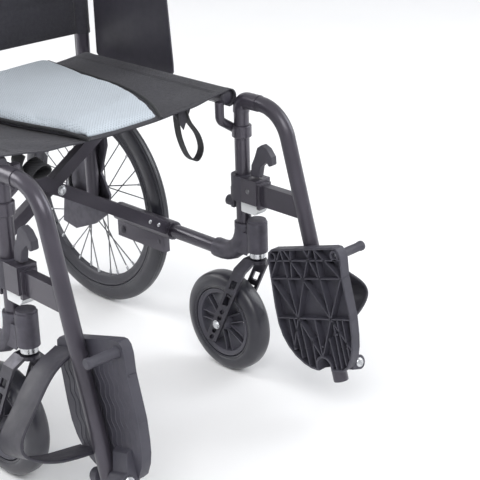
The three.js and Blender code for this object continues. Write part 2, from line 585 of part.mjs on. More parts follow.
// Everything on one side but its leg rest. The right side is the same group mirrored.
function chairSide(side, barY) {
  const group = new THREE.Group();
  const add = (name, geometry, finish) => group.add(mesh(name + "_" + side, geometry, FINISH[finish]));
  add("front_post", frontPost(), "frame");
  add("lower_rail", lowerRail(), "frame");
  add("corner_casting", cornerCasting(), "frame");
  add("caster_housing", casterHousing(), "frame");
  add("back_cane", backCane(), "frame");
  add("push_grip", pushGrip(), "rubber");
  add("brake_lever", brakeLever(), "fork");
  add("brake_cable", brakeCable(), "rubber");
  add("axle_plate", axlePlate(), "frame");
  add("rear_axle", rearAxle(), "steel");
  add("rear_wheel", rearWheel(), "fork");
  add("rear_tyre", tyre(WHEEL_X, WHEEL_Y, WHEEL_R - TYRE_DEPTH, WHEEL_R, WHEEL_WIDTH, 36), "tyre");
  add("caster_fork", casterFork(), "fork");
  add("caster_axle", casterAxle(), "steel");
  add("caster_rim", casterRim(), "plastic");
  add("caster_tyre", tyre(SIDE_X, CASTER_Y, RIM_R + GAP, CASTER_R, CASTER_WIDTH, 28), "tyre");
  add("armrest_frame", armrestFrame(), "frame");
  add("arm_pad", armPad(), "rubber");
  add("skirt_guard", skirtGuard(), "plastic");
  add("latch_receiver", latchReceiver(), "plastic");
  add("seat_rail", seatRail(), "frame");
  add("cross_bar", crossBar(barY), "frame");
  return group;
}

// One leg rest, swung about its post by an angle.
function legRest(side, loopDepth, swing) {
  const group = new THREE.Group();
  const add = (name, geometry, finish) => {
    const piece = mesh(name + "_" + side, geometry.translate(-SIDE_X, 0, 0), FINISH[finish]);
    group.add(piece);
  };
  add("hanger_tube", hangerTube(), "frame");
  add("latch_hook", latchHook(), "plastic");
  add("latch_pad", latchPad(), "white");
  add("footplate", footplate(), "plate");
  add("heel_loop", heelLoop(loopDepth), "webbing");
  group.position.x = SIDE_X;
  group.rotation.z = swing;
  return group;
}

const chair = new THREE.Group();
const left = chairSide("left", BAR_Y + BAR_STEP_Y);
left.add(legRest("left", LOOP_DEPTH_LEFT, 0));
const right = chairSide("right", BAR_Y);
right.add(legRest("right", LOOP_DEPTH_RIGHT, SWUNG_OUT));
right.scale.x = -1;
chair.add(left, right);
chair.add(mesh("centre_bolt", centreBolt(), FINISH.steel));
chair.add(mesh("seat_sling", seatSling(), FINISH.fabric));
chair.add(mesh("seat_cushion", seatCushion(), FINISH.mesh));
chair.add(mesh("pull_strap", pullStrap(), FINISH.webbing));
chair.add(mesh("back_sling", backSling(), FINISH.fabric));
chair.position.y = -LENGTH_CENTRE_Y;

const wheelchair = new THREE.Group();
wheelchair.add(chair);
export default wheelchair;
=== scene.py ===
"""Looks of a folding transport wheelchair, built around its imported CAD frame.

Drawn in millimetres in the chair's own axes: +Z up, it faces -Y, Y is counted from the front posts
and Z from the floor. Each side is drawn for the left (+X) and mirrored for the right. Finished
meshes are in metres.
"""
import json
import math

import bmesh
import bpy
from mathutils import Matrix, Vector, noise

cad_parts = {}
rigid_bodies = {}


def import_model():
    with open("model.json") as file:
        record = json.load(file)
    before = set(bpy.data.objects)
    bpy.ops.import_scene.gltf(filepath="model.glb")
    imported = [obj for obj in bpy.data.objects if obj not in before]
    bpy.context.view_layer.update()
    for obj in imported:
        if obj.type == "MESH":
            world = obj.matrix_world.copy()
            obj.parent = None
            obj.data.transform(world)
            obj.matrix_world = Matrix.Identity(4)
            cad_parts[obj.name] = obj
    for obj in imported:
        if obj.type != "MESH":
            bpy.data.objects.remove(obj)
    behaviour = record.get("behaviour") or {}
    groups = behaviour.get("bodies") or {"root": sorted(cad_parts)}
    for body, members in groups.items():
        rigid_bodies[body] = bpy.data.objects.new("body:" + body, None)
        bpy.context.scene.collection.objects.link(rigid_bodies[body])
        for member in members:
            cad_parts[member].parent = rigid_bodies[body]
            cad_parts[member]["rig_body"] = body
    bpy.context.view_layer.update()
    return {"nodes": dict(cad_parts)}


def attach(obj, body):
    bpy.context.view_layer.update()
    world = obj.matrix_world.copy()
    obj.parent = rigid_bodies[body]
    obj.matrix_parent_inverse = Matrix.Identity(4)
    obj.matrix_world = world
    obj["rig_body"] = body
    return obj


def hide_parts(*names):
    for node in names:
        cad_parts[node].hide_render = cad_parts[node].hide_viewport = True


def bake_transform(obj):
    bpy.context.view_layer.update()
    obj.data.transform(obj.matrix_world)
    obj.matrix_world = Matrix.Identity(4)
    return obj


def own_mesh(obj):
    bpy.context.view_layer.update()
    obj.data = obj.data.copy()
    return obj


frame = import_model()

# ---- driving dimensions, in millimetres ----
LENGTH_CENTRE_Y = 194.75
SIDE_X = 235.0
TUBE_R = 12.5
RAIL_Z = 221.0
RAIL_END_Y = 486.0
RAIL_GAP = 0.3
CABLE_Y = 477.0
POST_TOP_Z = 480.0
CANE_Y = 405.0
HANDLE_Z = 930.0
HANDLE_END_Y = 548.0
SEAT_X = 222.0
SEAT_Z = 500.0
SEAT_FRONT_Y = 15.0
SEAT_BACK_Y = 385.0
BAR_Y = 190.0
BAR_STEP_Y = 24.0
CROSS_Z = 361.0
STEM_Y = -30.5
CASTER_Y = 45.0
CASTER_R = 90.0
RIM_R = 62.0
CASTER_CENTRE = (SIDE_X, CASTER_Y, CASTER_R)
WHEEL_X = 272.0
WHEEL_Y = 450.0
WHEEL_R = 208.0
TYRE_DEPTH = 32.0
WHEEL_CENTRE = (WHEEL_X, WHEEL_Y, WHEEL_R)
HANG_Z = 497.0
HANG_Y = -90.5
HANG_TILT = math.radians(16.2)
HANG_FROM_Z = 300.0
HANG_LENGTH_S = 245.5
PLATE_IN_X = 204.0
PLATE_OUT_X = 221.0
PLATE_END_S = 219.0
HINGE_S = 212.0
LOOP_DEPTH = {"left": 126.0, "right": 120.0}
SWING = {"left": 0.0, "right": math.radians(2)}
ARM_X = 266.0
ARM_Z = 700.0
ARM_R = 10.0
SMOOTH_ANGLE = math.radians(38)
SIDES = ("left", "right")


# ---- meshes ----

class Shape:
    """Vertices and faces of one piece, drawn in millimetres for the left side."""

    def __init__(self):
        self.verts = []
        self.faces = []

    def add(self, verts, faces):
        base = len(self.verts)
        self.verts += [Vector(v) for v in verts]
        self.faces += [tuple(base + i for i in face) for face in faces]
        return self

    def loft(self, rings, closed=False, caps=True):
        """Joins rings of equally many points. A closed loft joins the last ring to the first."""
        n = len(rings[0])
        count = len(rings)
        faces = []
        for k in range(count if closed else count - 1):
            a, b = k * n, (k + 1) % count * n
            faces += [(a + i, a + (i + 1) % n, b + (i + 1) % n, b + i) for i in range(n)]
        if caps and not closed:
            faces += [tuple(reversed(range(n))), tuple((count - 1) * n + i for i in range(n))]
        return self.add([p for ring in rings for p in ring], faces)

    def tube(self, points, radius, sides=24):
        """A round bar along a route. The radius is one number, or one for each point."""
        points = [Vector(p) for p in points]
        radii = radius if isinstance(radius, list) else [radius] * len(points)
        angles = [2 * math.pi * k / sides for k in range(sides)]
        rings = []
        for (point, _, out, up), r in zip(carried_frames(points), radii):
            rings.append([point + (out * math.cos(a) + up * math.sin(a)) * r for a in angles])
        return self.loft(rings)

    def collar(self, low, high, radius):
        """A ring with eased edges round a tube that runs from low to high."""
        lip = 1.2
        low, high = Vector(low), Vector(high)
        way = (high - low).normalized()
        points = [low, low + way * lip, high - way * lip, high]
        return self.tube(points, [radius - lip, radius, radius, radius - lip], 28)

    def lathe(self, profile, centre, sides=64):
        """A closed profile of (x, radius) turned about an axis along X."""
        x, y, z = centre
        rings = []
        for k in range(sides):
            angle = 2 * math.pi * k / sides
            c, s = math.cos(angle), math.sin(angle)
            rings.append([Vector((x + px, y + r * c, z + r * s)) for px, r in profile])
        return self.loft(rings, closed=True)

    def prism(self, outline, place, low, high):
        """An outline of (u, v) carried by place(w, u, v) from one w to another."""
        return self.loft([[place(w, u, v) for u, v in outline] for w in (low, high)])

    def box(self, low, high):
        outline = [(low[1], low[2]), (high[1], low[2]), (high[1], high[2]), (low[1], high[2])]
        return self.prism(outline, at, low[0], high[0])

    def disc(self, centre, axis, radius, depth, sides=24):
        """A short cylinder that starts at its centre and rises along the axis."""
        start = Vector(centre)
        return self.tube([start, start + Vector(axis).normalized() * depth], radius, sides)

    def dome(self, centre, axis, radius, height, sides=20, steps=4):
        """A rounded bolt head or rivet."""
        way = Vector(axis).normalized()
        turns = [math.pi / 2 * k / steps for k in range(steps)]
        points = [Vector(centre) + way * height * math.sin(t) for t in turns]
        points.append(Vector(centre) + way * height)
        radii = [radius * math.cos(t) for t in turns] + [radius * 0.08]
        return self.tube([Vector(centre) - way] + points, [radius] + radii, sides)


def at(x, y, z):
    return Vector((x, y, z))


def carried_frames(points):
    """Each point of a route with its tangent and two directions that don't twist along it."""
    frames = []
    count = len(points)
    out = None
    for i, point in enumerate(points):
        tangent = (points[min(i + 1, count - 1)] - points[max(i - 1, 0)]).normalized()
        if out is None:
            out = tangent.orthogonal().normalized()
        out = (out - tangent * out.dot(tangent)).normalized()
        frames.append((point, tangent, out, tangent.cross(out)))
    return frames


def rounded(corners, radii, steps=10):
    """The points of a route with each corner rounded to its radius."""
    corners = [Vector(c) for c in corners]
    points = [corners[0]]
    for before, corner, after, radius in zip(corners, corners[1:], corners[2:], radii):
        inward = (corner - before).normalized()
        outward = (after - corner).normalized()
        turn = inward.angle(outward)
        start = corner - inward * radius * math.tan(turn / 2)
        side = (outward - inward * inward.dot(outward)).normalized()
        centre = start + side * radius
        for k in range(steps + 1):
            angle = turn * k / steps
            points.append(centre - side * radius * math.cos(angle) + inward * radius * math.sin(angle))
    return points + [corners[-1]]


def mirrored(half):
    """A profile from its right half, which is repeated backwards on the left."""
    return half + [(-x, r) for x, r in reversed(half) if x]


def curve_through(places, steps=10):
    """A smooth curve through places, as Catmull-Rom."""
    places = [Vector(p) for p in places]
    padded = [places[0] * 2 - places[1]] + places + [places[-1] * 2 - places[-2]]
    points = []
    for a, b, c, d in zip(padded, padded[1:], padded[2:], padded[3:]):
        for k in range(steps):
            t = k / steps
            points.append(0.5 * (2 * b + (c - a) * t + (2 * a - 5 * b + 4 * c - d) * t * t
                                 + (3 * b - a - 3 * c + d) * t ** 3))
    return points + [places[-1]]


def on_hanger(x, s, t):
    """A place on the leg rest: s runs down its sloping tube, t forwards and up from its centreline."""
    start = HANG_Y - (HANG_Z - HANG_FROM_Z) * math.tan(HANG_TILT)
    y = start - s * math.sin(HANG_TILT) - t * math.cos(HANG_TILT)
    return Vector((x, y, HANG_FROM_Z - s * math.cos(HANG_TILT) + t * math.sin(HANG_TILT)))


def to_metres(side="left", swung=False):
    """The matrix that takes a left-hand drawing to its place, swung out with the leg rest if asked."""
    place = Matrix.Scale(0.001, 4) @ Matrix.Translation((0, -LENGTH_CENTRE_Y, 0))
    if side == "right":
        place = place @ Matrix.Scale(-1, 4, (1, 0, 0))
    if swung:
        post = Matrix.Translation((SIDE_X, 0, 0))
        place = place @ post @ Matrix.Rotation(SWING[side], 4, "Z") @ post.inverted()
    return place


def new_object(name, mesh):
    made = bpy.data.objects.new(name, mesh)
    bpy.context.scene.collection.objects.link(made)
    return made


def tidy_mesh(mesh, matrix=None, flat=math.radians(0.5)):
    """Moves a mesh to its place, merges its doubles and faces it outwards."""
    work = bmesh.new()
    work.from_mesh(mesh)
    if matrix is not None:
        bmesh.ops.transform(work, matrix=matrix, verts=work.verts)
    bmesh.ops.remove_doubles(work, verts=work.verts, dist=2e-6)
    if flat:
        bmesh.ops.dissolve_limit(work, angle_limit=flat, verts=work.verts, edges=work.edges)
    bmesh.ops.recalc_face_normals(work, faces=work.faces)
    work.to_mesh(mesh)
    work.free()


def mesh_of(name, shape, matrix):
    mesh = bpy.data.meshes.new(name)
    mesh.from_pydata(shape.verts, [], shape.faces)
    tidy_mesh(mesh, matrix, flat=0)
    return mesh


def shade_smooth(made):
    made.data.polygons.foreach_set("use_smooth", [True] * len(made.data.polygons))


def finish_mesh(made, material, bevel=0.0):
    made.data.materials.clear()
    made.data.materials.append(material)
    shade_smooth(made)
    made.data.set_sharp_from_angle(angle=SMOOTH_ANGLE)
    if bevel:
        rounding = made.modifiers.new("edges", "BEVEL")
        rounding.width = bevel * 0.001
        rounding.segments = 2
        rounding.limit_method = "ANGLE"
        rounding.angle_limit = SMOOTH_ANGLE
        rounding.use_clamp_overlap = True
        rounding.harden_normals = True


def finished(name, mesh, look, stands_for, bevel):
    """A piece that doesn't ride on anything yet. A look is a material slot and its material."""
    made = new_object(name, mesh)
    finish_mesh(made, look[1], bevel)
    if stands_for:
        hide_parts(*stands_for)
    return made


def piece(name, shape, look, body, matrix, stands_for=(), bevel=0.0):
    """One drawn piece that rides on a body."""
    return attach(finished(name, mesh_of(name, shape, matrix), look, stands_for, bevel), body)


def polish(node, look, bevel):
    """A CAD node shown as it is, with its edges eased."""
    source = frame["nodes"][node]
    mesh = source.data.copy()
    tidy_mesh(mesh)
    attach(finished(node + "_shown", mesh, look, [node], bevel), source["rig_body"])


# ---- materials ----

class Look:
    """Builds one material's nodes. Numbers that hold all over are set on the shader itself."""

    def __init__(self, name, colour, roughness, metallic=0.0, **fixed):
        self.material = bpy.data.materials.new(name)
        self.material.use_nodes = True
        self.nodes = self.material.node_tree.nodes
        self.links = self.material.node_tree.links
        self.shader = self.nodes["Principled BSDF"]
        self.colour = colour
        self.set("Base Color", (*colour, 1))
        self.set("Roughness", roughness)
        self.set("Metallic", metallic)
        for key, value in fixed.items():
            self.set(key.replace("_", " "), value)
        place = self.nodes.new("ShaderNodeTexCoord")
        self.place = place.outputs["Object"]

    def set(self, socket, value):
        self.shader.inputs[socket].default_value = value

    def noise(self, scale, detail=3.0, rough=0.5, stretch=None):
        node = self.nodes.new("ShaderNodeTexNoise")
        node.inputs["Scale"].default_value = scale
        node.inputs["Detail"].default_value = detail
        node.inputs["Roughness"].default_value = rough
        place = self.place
        if stretch:
            mapping = self.nodes.new("ShaderNodeMapping")
            mapping.inputs["Scale"].default_value = stretch
            self.links.new(place, mapping.inputs["Vector"])
            place = mapping.outputs["Vector"]
        self.links.new(place, node.inputs["Vector"])
        return node.outputs["Fac"]

    def cells(self, scale):
        """Distance to the edges of small cells, as in the grain of leather."""
        node = self.nodes.new("ShaderNodeTexVoronoi")
        node.feature = "DISTANCE_TO_EDGE"
        node.inputs["Scale"].default_value = scale
        self.links.new(self.place, node.inputs["Vector"])
        return node.outputs["Distance"]

    def math(self, operation, a, b=0.0):
        node = self.nodes.new("ShaderNodeMath")
        node.operation = operation
        for socket, value in zip(node.inputs, (a, b)):
            if isinstance(value, (int, float)):
                socket.default_value = value
            else:
                self.links.new(value, socket)
        return node.outputs[0]

    def waves(self, pitches):
        """One sine for each (axis, pitch in metres), in the piece's own axes."""
        split = self.nodes.new("ShaderNodeSeparateXYZ")
        self.links.new(self.place, split.inputs[0])
        found = []
        for axis, pitch in pitches:
            turns = self.math("MULTIPLY", split.outputs[axis], 2 * math.pi / pitch)
            found.append(self.math("SINE", turns))
        return found

    def spread(self, value, low, high, to_low=0.0, to_high=1.0):
        node = self.nodes.new("ShaderNodeMapRange")
        names = ("From Min", "From Max", "To Min", "To Max")
        for name, number in zip(names, (low, high, to_low, to_high)):
            node.inputs[name].default_value = number
        self.links.new(value, node.inputs["Value"])
        return node.outputs["Result"]

    def tint(self, factor, other):
        """Colour moves from its present value to another as the factor goes from 0 to 1."""
        node = self.nodes.new("ShaderNodeMix")
        node.data_type = "RGBA"
        self.links.new(factor, node.inputs["Factor"])
        present = self.shader.inputs["Base Color"]
        if present.is_linked:
            self.links.new(present.links[0].from_socket, node.inputs[6])
        else:
            node.inputs[6].default_value = present.default_value
        node.inputs[7].default_value = (*other, 1)
        self.links.new(node.outputs[2], present)
        return self

    def mottle(self, scale, detail, low, high, factor, most=1.0):
        """Patches of a darker or lighter shade of the look's colour."""
        patches = self.spread(self.noise(scale, detail), low, high, 0, most)
        return self.tint(patches, shade(self.colour, factor))

    def wear(self, scale, detail, to_low, to_high, high=0.7):
        """Roughness that varies between two values."""
        worn = self.spread(self.noise(scale, detail), 0.3, high, to_low, to_high)
        self.links.new(worn, self.shader.inputs["Roughness"])

    def bump(self, height, strength, distance=0.0004):
        """Adds relief on top of any that is there."""
        node = self.nodes.new("ShaderNodeBump")
        node.inputs["Strength"].default_value = strength
        node.inputs["Distance"].default_value = distance
        self.links.new(height, node.inputs["Height"])
        normal = self.shader.inputs["Normal"]
        if normal.is_linked:
            self.links.new(normal.links[0].from_socket, node.inputs["Normal"])
        self.links.new(node.outputs["Normal"], normal)
        return self


def shade(colour, factor):
    return tuple(min(1.0, c * factor) for c in colour)


def painted_tube():
    look = Look("painted_tube", (0.058, 0.052, 0.068), 0.34, 0.45, Coat_Weight=0.35, Coat_Roughness=0.18)
    look.mottle(9, 2, 0.35, 0.7, 0.8)
    look.mottle(2600, 1, 0.55, 0.8, 1.9, 0.5)
    look.wear(34, 4, 0.28, 0.44, 0.75)
    return look.bump(look.noise(520, 2), 0.05).material


def cast_metal():
    look = Look("cast_metal", (0.084, 0.079, 0.099), 0.5, 0.4)
    look.mottle(60, 5, 0.4, 0.7, 0.7)
    look.wear(90, 3, 0.4, 0.58)
    return look.bump(look.noise(420, 4, 0.6), 0.3).material


def black_metal():
    look = Look("black_metal", (0.034, 0.032, 0.043), 0.38, 0.5, Coat_Weight=0.2, Coat_Roughness=0.3)
    look.mottle(40, 4, 0.5, 0.75, 1.7)
    look.wear(120, 3, 0.3, 0.46)
    return look.bump(look.noise(900, 2), 0.08).material


def steel(name="steel", colour=(0.62, 0.63, 0.65), roughness=0.24):
    look = Look(name, colour, roughness, 1.0)
    look.mottle(120, 3, 0.45, 0.7, 0.72)
    look.wear(700, 2, roughness - 0.06, roughness + 0.14)
    return look.bump(look.noise(1600, 2, 0.5, (1, 1, 0.05)), 0.08).material


def moulded(name, colour, roughness, grain=1500.0, depth=0.12):
    look = Look(name, colour, roughness)
    look.mottle(14, 3, 0.4, 0.72, 0.78)
    look.mottle(grain, 2, 0.6, 0.85, 1.7, 0.5)
    look.wear(60, 4, roughness - 0.07, roughness + 0.08)
    return look.bump(look.noise(grain, 2, 0.55), depth).material


def tyre_rubber():
    look = Look("tyre_rubber", (0.022, 0.021, 0.03), 0.36, Coat_Weight=0.25, Coat_Roughness=0.3)
    look.tint(look.spread(look.noise(26, 4), 0.45, 0.75), (0.032, 0.034, 0.042))
    look.wear(48, 4, 0.28, 0.46)
    return look.bump(look.noise(1100, 2), 0.08).material


WEAVE_PITCH = 0.0013
MESH_PITCH = 0.0052


def woven(name, colour, axes):
    """Plain-woven nylon: over and under threads along two axes, with slubs and faint creases, and the
    raised thread crowns painted lighter as a painted highlight.
    """
    look = Look(name, colour, 0.82, Sheen_Weight=0.12, Sheen_Roughness=0.5)
    across, along = look.waves([(axis, WEAVE_PITCH) for axis in axes])
    weave = look.math("MULTIPLY", across, along)
    # The raised thread crowns are painted lighter: a painted highlight on the weave.
    look.tint(look.spread(weave, -0.2, 1.0, 0, 0.75), shade(colour, 2.1))
    look.mottle(9, 4, 0.4, 0.7, 0.7, 0.8)
    look.wear(180, 3, 0.72, 0.92)
    look.bump(look.noise(26, 3), 0.35, 0.0012)
    return look.bump(weave, 0.5, 0.00035).material


def spacer_mesh():
    """Knitted spacer mesh: rows of small round holes in a pale cloth, the holes painted darker as painted
    shade inside them.
    """
    look = Look("spacer_mesh", (0.52, 0.575, 0.63), 0.85, Sheen_Weight=0.25, Sheen_Roughness=0.4)
    across, along = look.waves([("X", MESH_PITCH), ("Y", MESH_PITCH)])
    holes = look.math("MULTIPLY", across, along)
    # The holes are painted darker: painted shade inside each hole.
    look.tint(look.spread(holes, 0.35, 0.75), shade(look.colour, 0.62))
    look.mottle(14, 4, 0.4, 0.7, 0.86, 0.7)
    look.mottle(900, 3, 0.5, 0.75, 1.25, 0.45)
    look.bump(look.noise(22, 3), 0.3, 0.0015)
    return look.bump(look.spread(holes, 0.2, 0.8, 1, 0), 0.7, 0.0009).material


def strap(name, axis, pitch=0.0019):
    look = Look(name, (0.016, 0.016, 0.019), 0.7, Sheen_Weight=0.1, Sheen_Roughness=0.5)
    ribs, = look.waves([(axis, pitch)])
    # The rib crowns are painted lighter: a painted highlight along each rib.
    look.tint(look.spread(ribs, 0.0, 1.0, 0, 0.7), shade(look.colour, 2.2))
    look.mottle(30, 4, 0.45, 0.7, 0.7)
    look.bump(look.noise(700, 2), 0.2)
    return look.bump(ribs, 0.5, 0.0004).material


def leather():
    look = Look("arm_pad_skin", (0.02, 0.02, 0.023), 0.5, Coat_Weight=0.1, Coat_Roughness=0.4)
    look.mottle(30, 4, 0.4, 0.7, 1.6)
    look.wear(70, 3, 0.42, 0.6)
    return look.bump(look.cells(620), 0.35, 0.0005).material


PAINT = ("frame", painted_tube())
CAST = ("casting", cast_metal())
BLACK = ("black_metal", black_metal())
STEEL = ("steel", steel())
DARK_STEEL = ("steel", steel("dark_steel", (0.2, 0.2, 0.21), 0.32))
WHEEL = ("wheel", moulded("wheel_black", (0.032, 0.031, 0.042), 0.42))
CASTER_GREY = ("wheel", moulded("caster_grey", (0.062, 0.06, 0.077), 0.46))
TYRE = ("tyre", tyre_rubber())
PLASTIC = ("plastic", moulded("plastic_grey", (0.05, 0.047, 0.061), 0.5))
WHITE = ("white_plastic", moulded("plastic_white", (0.78, 0.79, 0.8), 0.36, depth=0.05))
PLATE = ("plate", moulded("plate_plastic", (0.052, 0.05, 0.066), 0.55, 900.0, 0.2))
GRIP = ("grip", moulded("grip_rubber", (0.022, 0.021, 0.028), 0.62, 900.0, 0.25))
CABLE = ("cable", moulded("cable_sheath", (0.015, 0.015, 0.017), 0.42))
PAD = ("pad", leather())
SEAT_CLOTH = ("seat_fabric", woven("seat_nylon", (0.026, 0.025, 0.033), ("X", "Y")))
BACK_CLOTH = ("seat_fabric", woven("back_nylon", (0.026, 0.025, 0.033), ("X", "Z")))
MESH_CLOTH = ("mesh_fabric", spacer_mesh())
PIPING = ("webbing", strap("piping", "Y", pitch=0.0025))
WEBBING = ("webbing", strap("pull_webbing", "Z"))
LOOP = ("webbing", moulded("loop_plastic", (0.032, 0.03, 0.041), 0.5, 700.0, 0.25))
THREAD = ("seat_fabric", moulded("thread", (0.07, 0.07, 0.078), 0.7))


# ---- tubes of the side frames ----

def front_post():
    shape = Shape().tube([(SIDE_X, 0, 286), (SIDE_X, 0, POST_TOP_Z - 4)], TUBE_R, 32)
    shape.collar((SIDE_X, 0, 434), (SIDE_X, 0, 454), TUBE_R + 4)
    route = [(SIDE_X, 0, 444), (SIDE_X - 7, 14, 448), (200, 14, 466), (200, 14, 497)]
    return shape.tube(rounded(route, [6, 14]), 7.5, 20)


def lower_rail():
    shape = Shape().tube([(SIDE_X, 68.3, RAIL_Z), (SIDE_X, RAIL_END_Y - 3, RAIL_Z)], TUBE_R, 32)
    return shape.dome((SIDE_X, RAIL_END_Y - 3, RAIL_Z), (0, 1, 0), TUBE_R - 0.5, 3, 28)


def back_cane():
    foot = RAIL_Z + TUBE_R + RAIL_GAP
    route = [(SIDE_X, CANE_Y, foot), (SIDE_X, CANE_Y, HANDLE_Z), (SIDE_X, HANDLE_END_Y - 4, HANDLE_Z)]
    shape = Shape().tube(rounded(route, [46], 14), TUBE_R, 32)
    shape.collar((SIDE_X, CANE_Y, ARM_Z - 14), (SIDE_X, CANE_Y, ARM_Z + 14), TUBE_R + 3)
    shape.tube([(SIDE_X, CANE_Y, ARM_Z), (ARM_X - 14, CANE_Y, ARM_Z)], 11, 24)
    shape.tube([(SIDE_X, CANE_Y, ARM_Z), (ARM_X + 12, CANE_Y, ARM_Z)], 5, 16)
    shape.dome((ARM_X + 11, CANE_Y, ARM_Z), (1, 0, 0), 9, 4)
    shape.collar((SIDE_X, 440, HANDLE_Z), (SIDE_X, 456, HANDLE_Z), TUBE_R + 3)
    shape.box((SIDE_X - 4, 441, HANDLE_Z - 30), (SIDE_X + 4, 455, HANDLE_Z - 10))
    for height in (566, 640, 714, 788, 852):
        shape.dome((SIDE_X - TUBE_R + 0.4, CANE_Y - 1, height), (-1, 0, 0), 4.2, 2.2, 14)
    return shape


def seat_rail():
    front, back = (SEAT_X, SEAT_FRONT_Y + 9, SEAT_Z), (SEAT_X, SEAT_BACK_Y - 4, SEAT_Z)
    return Shape().tube([front, back], TUBE_R, 32).dome(back, (0, 1, 0), TUBE_R - 0.4, 4, 28)


def seat_rail_cap():
    """The black plug that closes a seat rail's front end."""
    shape = Shape()
    shape.collar((SEAT_X, SEAT_FRONT_Y + 3, SEAT_Z), (SEAT_X, SEAT_FRONT_Y + 12, SEAT_Z), TUBE_R + 0.6)
    return shape.dome((SEAT_X, SEAT_FRONT_Y + 3.5, SEAT_Z), (0, -1, 0), TUBE_R - 0.4, 3.4, 28)


def push_grip():
    """Moulded rubber with finger ridges and a domed end."""
    start, end = 459.0, HANDLE_END_Y
    points, radii = [], []
    ridges = 11
    for k in range(ridges * 6 + 1):
        share = k / (ridges * 6)
        y = start + (end - 6 - start) * share
        points.append(at(SIDE_X, y, HANDLE_Z))
        radii.append(14.9 + 0.9 * abs(math.sin(math.pi * ridges * share)))
    shape = Shape().tube(points, radii, 32)
    shape.collar((SIDE_X, start, HANDLE_Z), (SIDE_X, start + 7, HANDLE_Z), 16)
    return shape.dome((SIDE_X, end - 6.5, HANDLE_Z), (0, 1, 0), 15.2, 6.4, 32, 6)


def brake_cable():
    back = CANE_Y + TUBE_R + 6.5
    route = [(SIDE_X, 447, HANDLE_Z - 40), (SIDE_X, 447, 850), (SIDE_X, back, 780), (SIDE_X, back, 330),
             (SIDE_X, CABLE_Y, 300), (SIDE_X, CABLE_Y, 262)]
    return Shape().tube(rounded(route, [40, 40, 24, 18], 8), 2.5, 14)


def cable_adjuster():
    """A threaded barrel with two lock nuts above the rail's rear end."""
    low, high = RAIL_Z + TUBE_R + RAIL_GAP, 264.0
    steps = 4 * 9
    points = [at(SIDE_X, CABLE_Y, low + (high - low) * k / steps) for k in range(steps + 1)]
    radii = [4.6 + 0.5 * math.cos(2 * math.pi * k / 4) for k in range(steps + 1)]
    shape = Shape().tube(points, radii, 20)
    shape.disc((SIDE_X, CABLE_Y, low), (0, 0, 1), 7, 4, 6)
    return shape.disc((SIDE_X, CABLE_Y, high - 8), (0, 0, 1), 6.4, 5, 6)


def armrest_frame():
    top = [at(ARM_X, CANE_Y - 3, ARM_Z), at(ARM_X, 148, ARM_Z)]
    shape = Shape().tube(top, ARM_R, 28)
    hinge = [(-10, 5.4), (10, 5.4), (10, 13.2), (9, 14), (-9, 14), (-10, 13.2)]
    shape.lathe(hinge, (ARM_X, CANE_Y, ARM_Z), 32)
    corners = [(212, ARM_Z), (212, 512), (384, 512), (384, ARM_Z)]
    guard = [(ARM_X - 3, y, z) for y, z in corners]
    return shape.tube(rounded(guard, [22, 22]), 7, 24)


# ---- rear wheels ----

def rear_tyre():
    """A narrow solid tyre: two grooves round its tread, and a bead line above the rim."""
    inner = WHEEL_R - TYRE_DEPTH
    bead = [(10.2, 0), (12.6, 1.2), (13.4, 4), (12.9, 5), (13.6, 6.2)]
    wall = [(14.0, 13), (13.3, 21), (11.4, 26.5), (8.8, 29.6)]
    tread = [(8.0, 28.9), (7.2, 30.4), (4.4, 31.4), (3.8, 30.4), (3.0, 31.6)]
    half = [(x, inner + out) for x, out in bead + wall + tread]
    return Shape().lathe(mirrored(half + [(0, WHEEL_R)]), WHEEL_CENTRE, 128)


def rear_rim():
    out = WHEEL_R - TYRE_DEPTH - 0.6
    hoop = [(11.6, 0), (12.2, 1.6), (10.4, 4.4), (9.6, 9), (7.6, 15), (5, 18.4)]
    half = [(x, out - depth) for x, depth in hoop]
    shape = Shape().lathe(mirrored(half), WHEEL_CENTRE, 128)
    flange = [(12.4, 13.4), (12.4, 26), (11.6, 27), (9.6, 27), (8.8, 26), (8.8, 15), (6, 12.6)]
    hub = [(-14, 6.4), (15, 6.4), (15, 12)] + mirrored(flange) + [(-14, 12)]
    return shape.lathe(hub, WHEEL_CENTRE, 48)


SPOKES = 32
SPOKE_FLANGE_R = 24.0
SPOKE_RIM_R = WHEEL_R - TYRE_DEPTH - 18.6


def spoke_ends(n):
    """Where spoke n leaves the hub and meets the rim, laced in crossing pairs."""
    side = 1 if n % 2 else -1
    lean = (1 if n % 4 < 2 else -1) * math.radians(66)
    angle = 2 * math.pi * n / SPOKES
    hub = at(side * 10.6, SPOKE_FLANGE_R * math.cos(angle + lean), SPOKE_FLANGE_R * math.sin(angle + lean))
    rim = at(side * 2.4, SPOKE_RIM_R * math.cos(angle), SPOKE_RIM_R * math.sin(angle))
    return Vector(WHEEL_CENTRE) + hub, Vector(WHEEL_CENTRE) + rim


def rear_spokes():
    shape = Shape()
    for n in range(SPOKES):
        hub, rim = spoke_ends(n)
        shape.tube([hub, rim], 1.15, 8)
    return shape


def rear_nipples():
    shape = Shape()
    for n in range(SPOKES):
        hub, rim = spoke_ends(n)
        way = (rim - hub).normalized()
        points = [rim - way * 11, rim - way * 9, rim + way * 2]
        shape.tube(points, [1.3, 2.2, 2.6], 8)
    return shape


def rear_axle():
    shape = Shape().tube([(248.5, WHEEL_Y, WHEEL_R), (291, WHEEL_Y, WHEEL_R)], 6, 24)
    shape.disc((288, WHEEL_Y, WHEEL_R), (1, 0, 0), 11, 3, 32)
    shape.disc((290, WHEEL_Y, WHEEL_R), (1, 0, 0), 8, 4, 6)
    drum = [(254.2, 6.4), (257.4, 6.4), (257.4, 28.6), (256.6, 30), (255, 30), (254.2, 28.6)]
    return shape.lathe([(x - WHEEL_X, r) for x, r in drum], WHEEL_CENTRE, 56)


# ---- casters ----

